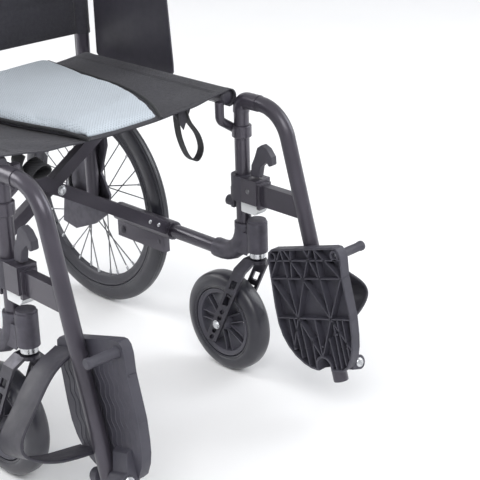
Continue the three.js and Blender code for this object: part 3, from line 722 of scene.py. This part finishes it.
def caster_tyre():
    inner, half_width = RIM_R + 0.3, 20.0
    half = [(14.5, inner), (17.5, inner + 1), (18.6, inner + 3.4), (18.0, inner + 4.4), (19.3, inner + 6)]
    for k in range(8):
        angle = math.pi / 2 * k / 8
        out = inner + 8 + (CASTER_R - inner - 8) * math.sin(angle)
        half.append((half_width * math.cos(angle) ** 0.6, out))
    return Shape().lathe(mirrored(half + [(0, CASTER_R)]), CASTER_CENTRE, 96)


CASTER_SPOKES = 7


def caster_rim():
    """Hub, hoop and seven spokes, each a web with a raised rib along both edges."""
    centre = Vector(CASTER_CENTRE)
    hub = mirrored([(22, 5.4), (22, 11), (20.4, 12.6), (16, 13.2), (10, 16)])
    hoop = mirrored([(17, RIM_R - 0.4), (17.6, RIM_R - 2), (16, RIM_R - 4), (14.6, 53.6), (9, 52)])
    shape = Shape().lathe(hub, centre, 48).lathe(hoop, centre, 96)
    for n in range(CASTER_SPOKES):
        angle = 2 * math.pi * n / CASTER_SPOKES
        out = at(0, math.cos(angle), math.sin(angle))
        across = at(0, -math.sin(angle), math.cos(angle))

        def place(w, u, v):
            return centre + at(w, 0, 0) + out * u + across * v

        shape.prism([(11, -6.4), (54, -7.6), (54, 7.6), (11, 6.4)], place, -4, 4)
        for edge in (-1, 1):
            rib = [(11, edge * 4.6), (54, edge * 6.0), (54, edge * 8.2), (11, edge * 6.8)]
            shape.prism(rib if edge > 0 else rib[::-1], place, -12, 12)
    return shape


def bearing_ring():
    """The bright ring between caster housing and fork."""
    return Shape().collar((SIDE_X, STEM_Y, 229), (SIDE_X, STEM_Y, 239.6), 13.5)


def caster_axle():
    shape = Shape().tube([(SIDE_X - 34, CASTER_Y, CASTER_R), (SIDE_X + 34, CASTER_Y, CASTER_R)], 5, 20)
    for side in (-1, 1):
        face = at(SIDE_X + side * 29.8, CASTER_Y, CASTER_R)
        shape.disc(face, (side, 0, 0), 8, 1.4, 24)
        shape.disc(face + at(side * 1.2, 0, 0), (side, 0, 0), 6.4, 2.4, 6)
    return shape


# ---- leg rests ----

def hanger_tube():
    start = at(SIDE_X, 0, POST_TOP_Z - 3.7)
    end = on_hanger(SIDE_X, HANG_LENGTH_S, 0)
    route = [start, (SIDE_X, 0, HANG_Z), (SIDE_X, HANG_Y, HANG_Z), end]
    shape = Shape().tube(rounded(route, [16.5, 62], 16), TUBE_R, 32)
    elbow = rounded([start, (SIDE_X, 0, HANG_Z), (SIDE_X, -42, HANG_Z)], [16.5], 14)
    shape.tube(elbow, 13.6, 32)
    return shape


def hanger_screw():
    return Shape().dome((SIDE_X - 17, -27, 349), (-1, 0, 0), 4.4, 1.6, 16)


# The foot plate's outline and the ends of its ribs, as (s, t) of on_hanger
PLATE_RIM = [
    (14, -62), (19, -71), (32, -76), (73, -80), (110, -84), (141, -85), (162, -81), (180, -73),
    (196, -61), (209, -45), (216, -31), (PLATE_END_S, -18), (PLATE_END_S, 40), (212, 53), (196, 65),
    (180, 72), (160, 77), (128, 82), (62, 83), (34, 88), (22, 87), (15, 82), (13, 74),
]
PLATE_RIBS = [
    [(34, -78), (34, 86)], [(64, -79), (64, 84)], [(131, -85), (131, 82)],
    [(15, -43), (61, -77)], [(15, -36), (62, -8), (131, 37)], [(64, -79), (131, -36), (198, 0)],
    [(15, 24), (62, -2), (131, -36), (180, -60)], [(15, 10), (62, 29)], [(15, 33), (62, 33), (131, 37)],
    [(15, 33), (62, 76)], [(64, 78), (131, 37), (198, 0)], [(15, -43), (62, -40), (131, -36)],
    [(15, -20), (62, -30)], [(131, 37), (183, 69)],
    [(131, -58), (186, -60)], [(131, -46), (200, -46)], [(131, -33), (212, -33)], [(163, -14), (214, -18)],
    [(131, 1), (196, 1)], [(163, 25), (216, 27)], [(134, 41), (214, 38)], [(131, 50), (208, 50)],
    [(131, 62), (196, 60)],
]


def inset(outline, amount):
    """The outline moved inwards by an amount, corner by corner."""
    moved = []
    count = len(outline)
    for i, (s, t) in enumerate(outline):
        before = Vector(outline[i - 1])
        after = Vector(outline[(i + 1) % count])
        way = (after - before).normalized()
        moved.append((s - way.y * amount, t + way.x * amount))
    area = sum(a[0] * b[1] - b[0] * a[1] for a, b in zip(outline, outline[1:] + outline[:1]))
    if area < 0:
        moved = [(2 * s - m, 2 * t - n) for (s, t), (m, n) in zip(outline, moved)]
    return moved


def plate_wall():
    """The tread's floor and the wall round its edge, with a notch for the tube's end."""
    floor_x = PLATE_OUT_X - 4
    notch = TUBE_R + 2.5
    outline = list(PLATE_RIM)
    corner = outline.index((PLATE_END_S, -18))
    arc = []
    for k in range(13):
        angle = math.radians(-150 + 300 * k / 12 - 180)
        arc.append((HINGE_S + notch * math.cos(angle), -notch * math.sin(angle)))
    mouth = [p for p in arc if p[0] < PLATE_END_S - 0.5]
    mouth.sort(key=lambda p: math.atan2(p[1], HINGE_S - p[0]))
    outline[corner + 1:corner + 1] = [(PLATE_END_S, mouth[0][1])] + mouth + [(PLATE_END_S, mouth[-1][1])]
    shape = Shape().prism(outline, on_hanger, floor_x, PLATE_OUT_X)
    rings = []
    for inwards, x in ((0, floor_x + 0.5), (0, PLATE_IN_X + 0.6), (0.6, PLATE_IN_X), (2.8, PLATE_IN_X),
                       (3.4, PLATE_IN_X + 0.6), (3.4, floor_x + 0.5)):
        ring = inset(outline, inwards) if inwards else outline
        rings.append([on_hanger(x, s, t) for s, t in ring])
    return shape.loft(rings, closed=True)


def plate_ribs():
    """Thin ribs on the tread's underside, a little thicker at the foot than at the edge."""
    shape = Shape()
    for line in PLATE_RIBS:
        for start, end in zip(line, line[1:]):
            start, end = Vector(start), Vector(end)
            side = (end - start).normalized().orthogonal()
            rings = []
            for x, half in ((PLATE_OUT_X - 3, 1.65), (PLATE_IN_X + 1, 1.1)):
                corners = [start + side * half, end + side * half, end - side * half, start - side * half]
                rings.append([on_hanger(x, *corner) for corner in corners])
            shape.loft(rings)
    return shape


def round_boss(shape, s, t, outer, hole, low, high):
    """A ring of plastic that stands on the tread's underside."""
    centre = on_hanger(0, s, t)
    profile = [(low, hole), (high, hole), (high, outer), (low, outer)]
    return shape.lathe(profile, (0, centre.y, centre.z), 28)


def plate_fittings():
    """Screw bosses, ejector pips, hinge lugs and the peg that the plate is lifted by."""
    shape = Shape()
    round_boss(shape, 27, 74, 9, 5, PLATE_IN_X + 1, PLATE_OUT_X - 2)
    round_boss(shape, 27, -66, 8, 5.4, PLATE_IN_X + 1.4, PLATE_OUT_X - 2)
    pips = [(131, -80), (131, 0), (166, -46), (156, 44), (182, -33), (178, 60), (176, 50), (178, 6),
            (184, -58)]
    for s, t in pips:
        round_boss(shape, s, t, 1.9, 0.2, PLATE_IN_X + 0.4, PLATE_OUT_X - 3)
    steps = 14
    arc = [math.radians(-128 + 256 * k / steps) for k in range(steps + 1)]
    ring = []
    for radius, way in ((TUBE_R + 6, arc), (TUBE_R + 2.5, arc[::-1])):
        ring += [(HINGE_S - radius * math.cos(a), radius * math.sin(a)) for a in way]
    ring = [(min(s, PLATE_END_S - 0.2), t) for s, t in ring]
    shape.prism(ring, on_hanger, PLATE_IN_X + 0.4, PLATE_OUT_X - 2)
    for low, high, top in ((-30, -15, HINGE_S - 16), (15, 50, HINGE_S - 44)):
        turns = [math.radians(90 - 180 * k / 12) for k in range(13)]
        lug = [(PLATE_OUT_X - 3, top), (PLATE_OUT_X + 8, top + 6)]
        lug += [(SIDE_X + 1 + 12 * math.cos(a), HINGE_S - 12 * math.sin(a)) for a in turns]
        lug += [(PLATE_OUT_X - 3, HINGE_S + 7)]
        shape.prism(lug, lambda w, x, s: on_hanger(x, s, w), low, high)
    foot, end = PLATE_OUT_X - 2, PLATE_OUT_X + 52
    along = [foot, foot + 4, foot + 6, end - 9, end - 7, end - 1.5, end]
    radii = [8.4, 8.4, 7.4, 7.2, 8, 8, 6.4]
    shape.tube([on_hanger(x, 29, 73) for x in along], radii, 24)
    return shape


def plate_metal():
    """The hinge pin and the silver bolt in the top corner's boss."""
    shape = Shape().tube([on_hanger(SIDE_X, HINGE_S, -34), on_hanger(SIDE_X, HINGE_S, 53)], 4.6, 20)
    across = on_hanger(0, 0, 1) - on_hanger(0, 0, 0)
    shape.dome(on_hanger(SIDE_X, HINGE_S, 50.5), across, 8, 3.2, 24)
    shape.dome(on_hanger(SIDE_X, HINGE_S, -31), -across, 7, 3, 24)
    centre = on_hanger(PLATE_OUT_X - 4, 27, 74)
    return shape.disc(centre, (-1, 0, 0), 4.2, 7, 6)


def tread_grooves():
    """Wavy rubber ridges on the side that the foot stands on."""
    shape = Shape()
    for t in range(-66, 67, 11):
        end = 180 if abs(t) < 25 else 206 - (abs(t) - 22) * 0.7
        points = []
        for k in range(61):
            s = 38 + (end - 38) * k / 60
            points.append(on_hanger(PLATE_OUT_X - 0.2, s, t + 2.4 * math.sin(s / 5.5)))
        shape.tube(points, 0.9, 6)
    return shape


# The heel loop's route: how far it stands out, as a share of its depth, and how far down it is
LOOP_ROUTE = [(0, 28), (0.39, 48), (0.75, 88), (1, 121), (0.96, 145), (0.6, 167), (0, 178)]
LOOP_T = -44.0


def heel_loop(depth):
    """A soft band with a ribbed face and thick rolled edges."""
    foot = PLATE_OUT_X + 3
    points = curve_through([on_hanger(foot + out * depth, s, LOOP_T) for out, s in LOOP_ROUTE], 14)
    across = on_hanger(0, 0, 1) - on_hanger(0, 0, 0)
    section = [(-30, -1.2), (-28.4, -2.3), (-26.4, -1.3), (26.4, -1.3), (28.4, -2.3), (30, -1.2), (30, 1.2),
               (28.4, 2.3), (26.4, 1.4)]
    for k in range(25):
        section.append((24.8 - 49.6 * k / 24, 1.5 + (0.7 if k % 2 else 0)))
    section += [(-26.4, 1.4), (-28.4, 2.3), (-30, 1.2)]
    rings = []
    for i, point in enumerate(points):
        way = points[min(i + 1, len(points) - 1)] - points[max(i - 1, 0)]
        out = way.cross(across).normalized()
        rings.append([point + across * u + out * v for u, v in section])
    return Shape().loft(rings)


# ---- crossed bars ----

def bar_bolts(side):
    """Screws along a bar and the clamp bolts of its sleeve. The bar's tip is on this side."""
    y = BAR_Y if side == "right" else BAR_Y + BAR_STEP_Y
    shape = Shape()
    foot = at(-SIDE_X, y, RAIL_Z)
    middle = at(0, y, CROSS_Z)
    tip = at(SEAT_X, y, SEAT_Z)
    places = [foot.lerp(middle, share) for share in (0.14, 0.22)]
    places += [middle.lerp(tip, share) for share in (0.86, 0.94)]
    for place in places:
        shape.dome(place + at(0, -8, 0), (0, -1, 0), 3.8, 2, 18)
    for along in (236, 262):
        shape.dome((-SIDE_X + 16, along, RAIL_Z + 3), (1, 0, 0), 4.2, 2.4, 18)
    return shape


def bracket_knob():
    """The knob through a sleeve's bracket, and a smaller rivet in front of it."""
    shape = Shape()
    for side in (-1, 1):
        shape.dome((-SIDE_X + side * 6, 316, 188), (side, 0, 0), 8, 4, 24)
        shape.dome((-SIDE_X + side * 6, 214, 192), (side, 0, 0), 4, 2, 18)
    return shape


def centre_bolt():
    from_y = BAR_Y - 8.3
    to_y = BAR_Y + BAR_STEP_Y + 8.3
    shape = Shape().tube([(0, from_y - 3, CROSS_Z), (0, to_y + 3, CROSS_Z)], 6, 24)
    shape.disc((0, from_y, CROSS_Z), (0, -1, 0), 8.6, 1.2, 32)
    shape.dome((0, from_y - 1.0, CROSS_Z), (0, -1, 0), 6.6, 3.4, 28, 6)
    shape.disc((0, to_y, CROSS_Z), (0, 1, 0), 10.5, 1.6, 32)
    shape.disc((0, to_y + 1.4, CROSS_Z), (0, 1, 0), 9, 3.6, 6)
    return shape.disc((0, BAR_Y + 8.3, CROSS_Z), (0, 1, 0), 10, BAR_STEP_Y - 16.6, 24)


# ---- soft goods ----

SLING_FRONT_Y = 12.0
SLING_BACK_Y = 383.0
SLING_TOP_Z = 514.2
SLING_SAG = 13.0
FRONT_DROOP = 5.0
SLEEVE_R = 14.2
WRAP_END = math.radians(-95)
PANEL_FRONT_Y = 8.0
PANEL_MIDDLE_Y = 196.0
PANEL_BACK_Y = 378.0
STITCH = 2.6
STITCH_GAP = 1.5
THREAD_R = 0.32


def sling_z(x, y):
    """Height of the seat cloth's upper side, which dips between the rails and droops at its front edge."""
    share = min(abs(x) / SEAT_X, 1)
    droop = FRONT_DROOP * math.exp(-max(y - SLING_FRONT_Y, 0) / 45)
    return SLING_TOP_Z - (SLING_SAG + droop) * (1 - share ** 2)


def creases(x, y):
    """Shallow folds that run in from the rails' front ends, and soft waves everywhere."""
    broad = noise.noise(Vector((x * 0.011, y * 0.017, 3.1)))
    pull = math.exp(-((y - SLING_FRONT_Y) / 70) ** 2) * math.exp(-((abs(x) - 150) / 60) ** 2)
    fold = math.sin((y * 0.8 - abs(x) * 0.55) * 0.11)
    return 1.1 * broad + 1.5 * pull * fold


def seat_sling():
    """One cloth that wraps both seat rails and spans the gap between them, hemmed at both ends."""
    across = []
    wrap_steps, span_steps = 12, 60
    for k in range(wrap_steps):
        angle = WRAP_END + (math.pi / 2 - WRAP_END) * k / wrap_steps
        across.append((SEAT_X + SLEEVE_R * math.cos(angle), SEAT_Z + SLEEVE_R * math.sin(angle), 0.0))
    for k in range(span_steps + 1):
        x = SEAT_X - 2 * SEAT_X * k / span_steps
        across.append((x, None, 1 - (abs(x) / SEAT_X) ** 6))
    across += [(-x, z, free) for x, z, free in reversed(across[:wrap_steps])]
    rows = 44
    rings = []
    for j in range(rows + 1):
        share = j / rows
        y = SLING_FRONT_Y + (SLING_BACK_Y - SLING_FRONT_Y) * share
        hem = 0.55 if min(y - SLING_FRONT_Y, SLING_BACK_Y - y) < 9 else 0
        top, under = [], []
        for x, z, free in across:
            if z is None:
                place = at(x, y, sling_z(x, y) + creases(x, y) * free)
                out = at(0, 0, 1)
            else:
                place = at(x, y, z)
                out = (place - at(math.copysign(SEAT_X, x), y, SEAT_Z)).normalized()
            top.append(place + out * hem)
            under.append(place - out * (1.0 + hem))
        rings.append(top + under[::-1])
    return Shape().loft(rings)


def add_stitches(shape, points):
    """Short raised threads along a route."""
    up = at(0, 0, 1)
    for a, b in zip(points, points[1:]):
        along = (b - a).normalized()
        count = max(int((b - a).length / (STITCH + STITCH_GAP)), 1)
        for k in range(count):
            start = a.lerp(b, k / count) + up * 0.25
            shape.tube([start, start + along * 0.4 + up * 0.3, start + along * STITCH], THREAD_R, 5)


def sling_stitches():
    shape = Shape()
    for side in (-1, 1):
        for x in (197, 201.5):
            free = 1 - (x / SEAT_X) ** 6
            add_stitches(shape, [at(side * x, y, sling_z(x, y) + creases(side * x, y) * free)
                                 for y in range(16, 382, 9)])
    for y in (SLING_FRONT_Y + 8, SLING_BACK_Y - 8):
        add_stitches(shape, [at(x, y, sling_z(x, y) + 0.5 + creases(x, y)) for x in range(-190, 191, 10)])
    return shape


def pad_edge(grow):
    """Half of the seat panel's outline from the middle of its front edge round to its back edge."""
    a, b, c, d = Vector((68, PANEL_FRONT_Y)), Vector((90, 55)), Vector((112, 110)), Vector((119, 170))
    back = Vector((133, PANEL_BACK_Y))
    edge = [Vector((x, PANEL_FRONT_Y)) for x in range(0, 67, 11)]
    for k in range(13):
        t = k / 12
        edge.append(a * (1 - t) ** 3 + b * 3 * t * (1 - t) ** 2 + c * 3 * t * t * (1 - t) + d * t ** 3)
    edge += [d.lerp(back, k / 8) for k in range(1, 9)]
    return [(p.x + grow, p.y - grow * 0.5) for p in edge]


def front_taper(y):
    """The panel gets thinner towards the seat's front edge."""
    return 1 - 0.45 * math.exp(-max(y - PANEL_FRONT_Y, 0) / 16)


def pad_shape(low, high, grow):
    """The panel between two heights above the sling, dipping as the sling does."""
    half = pad_edge(grow)
    outline = half + [(-x, y) for x, y in reversed(half) if x > 0.01]
    rings = []
    for height, pull in ((low, 1.5), (low + 1.2, 0), (high - 2.5, 0), (high, 2.5)):
        ring = []
        for x, y in outline:
            shrink = 1 - pull / 130
            top = sling_z(x, y) + height * front_taper(y)
            ring.append(at(x * shrink, PANEL_MIDDLE_Y + (y - PANEL_MIDDLE_Y) * shrink, top))
        rings.append(ring)
    return Shape().loft(rings)


def swell(made, pressure, cap):
    """Blows a padded piece up as cloth, no point further than the cap, and smooths it."""
    remesh = made.modifiers.new("voxels", "REMESH")
    remesh.mode = "VOXEL"
    remesh.voxel_size = 0.004
    bpy.context.view_layer.objects.active = made
    bpy.ops.object.modifier_apply(modifier="voxels")
    start = [v.co.copy() for v in made.data.vertices]
    cloth = made.modifiers.new("cloth", "CLOTH")
    cloth.settings.use_pressure = True
    cloth.settings.uniform_pressure_force = pressure
    cloth.settings.effector_weights.gravity = 0
    cloth.settings.quality = 5
    for number in range(1, 21):
        bpy.context.scene.frame_set(number)
    blown = made.evaluated_get(bpy.context.evaluated_depsgraph_get()).to_mesh()
    ends = [v.co.copy() for v in blown.vertices]
    made.modifiers.remove(cloth)
    bpy.context.scene.frame_set(1)
    for vertex, a, b in zip(made.data.vertices, start, ends):
        move = b - a
        if move.length > cap:
            move = move.normalized() * cap
        vertex.co = a + move
    smooth = made.modifiers.new("smooth", "SMOOTH")
    smooth.factor = 0.5
    smooth.iterations = 3
    bpy.ops.object.modifier_apply(modifier="smooth")
    finer = made.modifiers.new("finer", "SUBSURF")
    finer.levels = finer.render_levels = 1
    bpy.ops.object.modifier_apply(modifier="finer")
    shade_smooth(made)


def soft_piece(name, shape, look, stands_for=(), place=None):
    """A soft piece in the chair's place, not yet riding on anything."""
    return finished(name, mesh_of(name, shape, place or to_metres()), look, stands_for, 0)


def settle(made, floor_gap):
    """Keeps a padded piece above the sling that it lies on."""
    for vertex in made.data.vertices:
        y = vertex.co.y * 1000 + LENGTH_CENTRE_Y
        lowest = (sling_z(vertex.co.x * 1000, y) + floor_gap * front_taper(y)) * 0.001
        vertex.co.z = max(vertex.co.z, lowest)


def across_seat(made):
    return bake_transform(made)


def add_seat():
    sling = soft_piece("seat_cloth", seat_sling(), SEAT_CLOTH, ["seat_sling"])
    across_seat(sling)
    across_seat(soft_piece("seat_stitches", sling_stitches(), THREAD))

    base = soft_piece("panel_base", pad_shape(1.8, 7.0, 1.2), SEAT_CLOTH)
    across_seat(base)
    panel = soft_piece("seat_panel", pad_shape(2.5, 14.0, -0.6), MESH_CLOTH, ["seat_cushion"])
    swell(panel, pressure=4.0, cap=0.006)
    settle(panel, 2.6)
    across_seat(panel)

    edge = [at(x, y, sling_z(x, y) + 3.5 + 6 * min((y - 6) / 40, 1)) for x, y in pad_edge(2.2)[7:]]
    piping = Shape()
    for side in (1, -1):
        piping.tube([at(side * p.x, p.y, p.z) for p in edge], 2.8, 12)
    across_seat(soft_piece("seat_piping", piping, PIPING))


def strap_band(points, half, thick):
    """A flat webbing strap along a route. Half is half its width, as a vector."""
    section = [(1, 0.4), (0.92, 1), (-0.92, 1), (-1, 0.4), (-1, -0.4), (-0.92, -1), (0.92, -1), (1, -0.4)]
    rings = []
    for i, point in enumerate(points):
        way = points[min(i + 1, len(points) - 1)] - points[max(i - 1, 0)]
        out = way.cross(half).normalized() * thick
        rings.append([point + half * u + out * v for u, v in section])
    return Shape().loft(rings)


def strap_length(points):
    return sum((b - a).length for a, b in zip(points, points[1:])) * 0.001


def add_strap(name, route, half, stands_for):
    points = curve_through([at(*p) for p in route], 10)
    made = soft_piece(name, strap_band(points, half, 1.1), WEBBING, stands_for)
    across_seat(made)
    strap_length(points)


def add_straps():
    pull = [(116, 24, 499), (117, 25, 482), (123, 26, 452), (138, 27, 420), (156, 27, 408), (167, 26, 424),
            (160, 25, 450), (140, 24, 478), (133, 24, 499)]
    add_strap("pull_loop", pull, at(0, 7, 0), ["pull_strap"])
    gusset = Shape().prism([(106, 500), (148, 505), (128, 466)], lambda w, x, z: at(x, w, z), 21, 23)
    across_seat(soft_piece("strap_gusset", gusset, SEAT_CLOTH))
    slack = [(-172, 40, 500), (-176, 44, 482), (-160, 48, 462), (-138, 46, 458), (-128, 40, 468),
             (-140, 36, 480), (-160, 34, 476), (-166, 38, 462), (-150, 42, 450)]
    add_strap("slack_strap", slack, at(0, 13, 3), [])


BACK_LOW_Z = 545.0
BACK_HIGH_Z = 872.0
BACK_HALF = 219.0
BACK_CHANNEL = 65.4
SLEEVE_HOLE_R = 13.2
BACK_SLEEVE_R = 14.3


def back_panel():
    """A quilted panel: five stitched channels, thinner at its seams and edges."""
    columns, rows = 60, 54
    front, rear = [], []
    for j in range(rows + 1):
        z = BACK_LOW_Z + (BACK_HIGH_Z - BACK_LOW_Z) * j / rows
        line_front, line_rear = [], []
        for i in range(columns + 1):
            x = BACK_HALF - 2 * BACK_HALF * i / columns
            side_edge = min(1, (BACK_HALF - abs(x)) / 12) ** 0.5
            end_edge = min(1, min(z - BACK_LOW_Z, BACK_HIGH_Z - z) / 8) ** 0.5
            edge = side_edge * end_edge
            channel = abs(math.sin(math.pi * (z - BACK_LOW_Z) / BACK_CHANNEL)) ** 0.35
            puff = edge * (1.2 + 3.4 * channel) + 0.6 * noise.noise(Vector((x * 0.02, 1.7, z * 0.02)))
            sag = 5 * (1 - (x / BACK_HALF) ** 2)
            line_front.append(at(x, CANE_Y - 1.2 - max(puff, 0.4) + sag, z))
            line_rear.append(at(x, CANE_Y + 1.2 + max(puff * 0.55, 0.4) + sag, z))
        front.append(line_front)
        rear.append(line_rear)
    return Shape().loft([a + b[::-1] for a, b in zip(front, rear)])


def back_sleeve():
    """The hemmed tube of cloth that slides over a cane."""
    steps, sides = 40, 28
    outer, inner = [], []
    for j in range(steps + 1):
        z = BACK_LOW_Z + (BACK_HIGH_Z - BACK_LOW_Z) * j / steps
        hem = 0.5 if min(z - BACK_LOW_Z, BACK_HIGH_Z - z) < 9 else 0
        for rings, radius in ((outer, BACK_SLEEVE_R + hem), (inner, SLEEVE_HOLE_R)):
            ring = []
            for k in range(sides):
                c, s = math.cos(2 * math.pi * k / sides), math.sin(2 * math.pi * k / sides)
                r = radius + 0.25 * noise.noise(Vector((c * 2, s * 2, z * 0.05)))
                ring.append(at(SIDE_X + r * c, CANE_Y + r * s, z))
            rings.append(ring)
    return Shape().loft(outer + inner[::-1], closed=True)


def add_back():
    panel = soft_piece("back_panel", back_panel(), BACK_CLOTH, ["back_sling"])
    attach(panel, "frame_right")
    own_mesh(panel)
    for side in SIDES:
        sleeve = piece("back_sleeve_" + side, back_sleeve(), BACK_CLOTH, "frame_" + side, to_metres(side))


def arm_cushion():
    """A long cushion with round ends and edges and a flat underside."""
    low_y, high_y = 127.0, 387.0
    low_z, high_z = ARM_Z + ARM_R + 0.6, ARM_Z + ARM_R + 26
    rings = []
    for k in range(25):
        y = low_y + (high_y - low_y) * k / 24
        full = (1 - abs(2 * k / 24 - 1) ** 9) ** 0.5
        half = 5 + 13.5 * full
        top = low_z + 9 + (high_z - low_z - 9) * full
        corner = min(half - 1, 7)
        section = [(-half, low_z + 3), (3 - half, low_z), (half - 3, low_z), (half, low_z + 3)]
        section += [(half - corner + corner * math.cos(a), top - corner + corner * math.sin(a))
                    for a in (0, 0.4, 0.8, 1.2)]
        section += [(-x, z) for x, z in reversed(section[4:])]
        rings.append([at(ARM_X + 7 + x, y, z) for x, z in section])
    return Shape().loft(rings)


def add_arm_pads():
    for side in SIDES:
        pad = soft_piece("arm_cushion_" + side, arm_cushion(), PAD, ["arm_pad_" + side], to_metres(side))
        swell(pad, pressure=3.0, cap=0.003)
        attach(pad, "armrest_" + side)


# ---- everything in its place ----

# CAD nodes that are good enough to be seen, each with its look and the width of its eased edges
SHOWN_AS_PACKED = [
    ("corner_casting", CAST, 1.6), ("caster_housing", CAST, 1.4), ("axle_plate", CAST, 1.2),
    ("caster_fork", BLACK, 0.8), ("brake_lever", BLACK, 1.0), ("skirt_guard", PLASTIC, 1.2),
    ("latch_receiver", PLASTIC, 1.4), ("latch_hook", PLASTIC, 2.0), ("latch_pad", WHITE, 2.4),
    ("cross_bar", PAINT, 2.6), ("hanger_tube", PAINT, 1.4),
]


def add_side(side):
    """The pieces of one side frame, its wheels, armrest and leg rest."""
    place = to_metres(side)
    swung = to_metres(side, swung=True)

    def put(name, shape, look, body, node="", bevel=0.0, matrix=place):
        stands_for = [node + "_" + side] if node else []
        piece(name + "_" + side, shape, look, body + "_" + side, matrix, stands_for, bevel)

    put("post_tube", front_post(), PAINT, "frame", "front_post")
    put("rail_tube", lower_rail(), PAINT, "frame", "lower_rail")
    put("cane_tube", back_cane(), PAINT, "frame", "back_cane")
    put("hand_grip", push_grip(), GRIP, "frame", "push_grip", 0.5)
    put("cable_sheath", brake_cable(), CABLE, "frame", "brake_cable")
    put("cable_adjuster", cable_adjuster(), DARK_STEEL, "frame")
    put("axle_drum", rear_axle(), STEEL, "frame", "rear_axle", 0.4)
    put("tyre_rear", rear_tyre(), TYRE, "rear", "rear_tyre")
    put("rim_rear", rear_rim(), WHEEL, "rear", "rear_wheel")
    put("spokes_rear", rear_spokes(), DARK_STEEL, "rear")
    put("nipples_rear", rear_nipples(), STEEL, "rear")
    put("tyre_caster", caster_tyre(), TYRE, "caster_wheel", "caster_tyre")
    put("rim_caster", caster_rim(), CASTER_GREY, "caster_wheel", "caster_rim", 0.6)
    put("bolt_caster", caster_axle(), STEEL, "caster", "caster_axle", 0.4)
    put("bearing_ring", bearing_ring(), STEEL, "frame")
    put("armrest_tubes", armrest_frame(), PAINT, "armrest", "armrest_frame")
    put("hanger_bend", hanger_tube(), PAINT, "hanger", matrix=swung)
    put("hanger_screw", hanger_screw(), DARK_STEEL, "hanger", matrix=swung)
    put("plate_wall", plate_wall(), PLATE, "footplate", "footplate", matrix=swung)
    put("plate_ribs", plate_ribs(), PLATE, "footplate", matrix=swung)
    put("plate_fittings", plate_fittings(), PLATE, "footplate", bevel=0.8, matrix=swung)
    put("plate_metal", plate_metal(), STEEL, "footplate", matrix=swung)
    put("tread_grooves", tread_grooves(), PLATE, "footplate", matrix=swung)
    put("heel_band", heel_loop(LOOP_DEPTH[side]), LOOP, "footplate", "heel_loop", matrix=swung)
    put("seat_rail_tube", seat_rail(), PAINT, "bar", "seat_rail")
    put("seat_rail_cap", seat_rail_cap(), PLASTIC, "bar")
    put("bar_bolts", bar_bolts(side), STEEL, "bar")
    put("bracket_knob", bracket_knob(), PLASTIC, "bar")
    for node, look, bevel in SHOWN_AS_PACKED:
        polish(node + "_" + side, look, bevel)


for side_name in SIDES:
    add_side(side_name)
piece("cross_bolt", centre_bolt(), STEEL, "bar_left", to_metres(), ["centre_bolt"], 0.4)
add_seat()
add_straps()
add_back()
add_arm_pads()


# ---- camera, light and floor ----

def add_camera():
    """Eye level with the seat's front, from the chair's right and ahead of it."""
    turn = math.radians(-43.98)
    rise = math.radians(22.07)
    roll = math.radians(-1.64)
    place = Vector((-1.2296, -1.5065 - LENGTH_CENTRE_Y * 0.001, 1.1071))
    back = Vector((math.sin(turn) * math.cos(rise), -math.cos(turn) * math.cos(rise), math.sin(rise)))
    right = Vector((math.cos(turn), math.sin(turn), 0))
    up = back.cross(right)
    across = right * math.cos(roll) + up * math.sin(roll)
    over = up * math.cos(roll) - right * math.sin(roll)
    data = bpy.data.cameras.new("camera")
    data.lens = 101.27
    data.sensor_width = 36
    data.shift_y = -0.0042
    data.clip_end = 50
    camera = new_object("camera", data)
    turned = Matrix((across, over, back)).transposed()
    camera.matrix_world = Matrix.Translation(place) @ turned.to_4x4()
    bpy.context.scene.camera = camera


def add_light(name, place, target, size, power, colour=(1, 1, 1)):
    data = bpy.data.lights.new(name, "AREA")
    data.shape = "RECTANGLE"
    data.size, data.size_y = size
    data.energy = power
    data.color = colour
    light = new_object(name, data)
    light.location = place
    light.rotation_euler = (Vector(target) - Vector(place)).to_track_quat("-Z", "Y").to_euler()


def add_floor():
    """A pale sweep that runs from the floor up into a far, round backdrop."""
    shape = Shape()
    rings = []
    for radius, height in ((0.01, 0), (2, 0), (6, 0), (9, 0.3), (11, 1.5), (12, 4), (12, 9)):
        turns = [2 * math.pi * k / 64 for k in range(64)]
        rings.append([Vector((radius * math.cos(a), radius * math.sin(a), height)) for a in turns])
    shape.loft(rings, caps=False)
    floor = new_object("floor", mesh_of("floor", shape, Matrix.Translation((0, 0, -0.0005))))
    look = Look("floor_paper", (0.93, 0.93, 0.93), 0.9, Specular_IOR_Level=0.1)
    look.tint(look.spread(look.noise(3, 2), 0.3, 0.7), (0.915, 0.915, 0.92))
    finish_mesh(floor, look.material)


def add_world():
    world = bpy.data.worlds.new("studio")
    world.use_nodes = True
    world.node_tree.nodes["Background"].inputs["Color"].default_value = (0.97, 0.98, 1.0, 1)
    world.node_tree.nodes["Background"].inputs["Strength"].default_value = 0.85
    bpy.context.scene.world = world


add_camera()
add_floor()
add_world()
add_light("key", (-1.6, -2.4, 2.9), (0, 0, 0.3), (2.4, 1.6), 60)
add_light("side", (2.6, -1.4, 1.8), (0, 0, 0.3), (1.6, 2.2), 40, (0.95, 0.97, 1.0))
add_light("rim", (-1.6, 2.6, 2.2), (0, 0, 0.4), (2.2, 1.4), 60)
bpy.context.scene.view_settings.view_transform = "Standard"
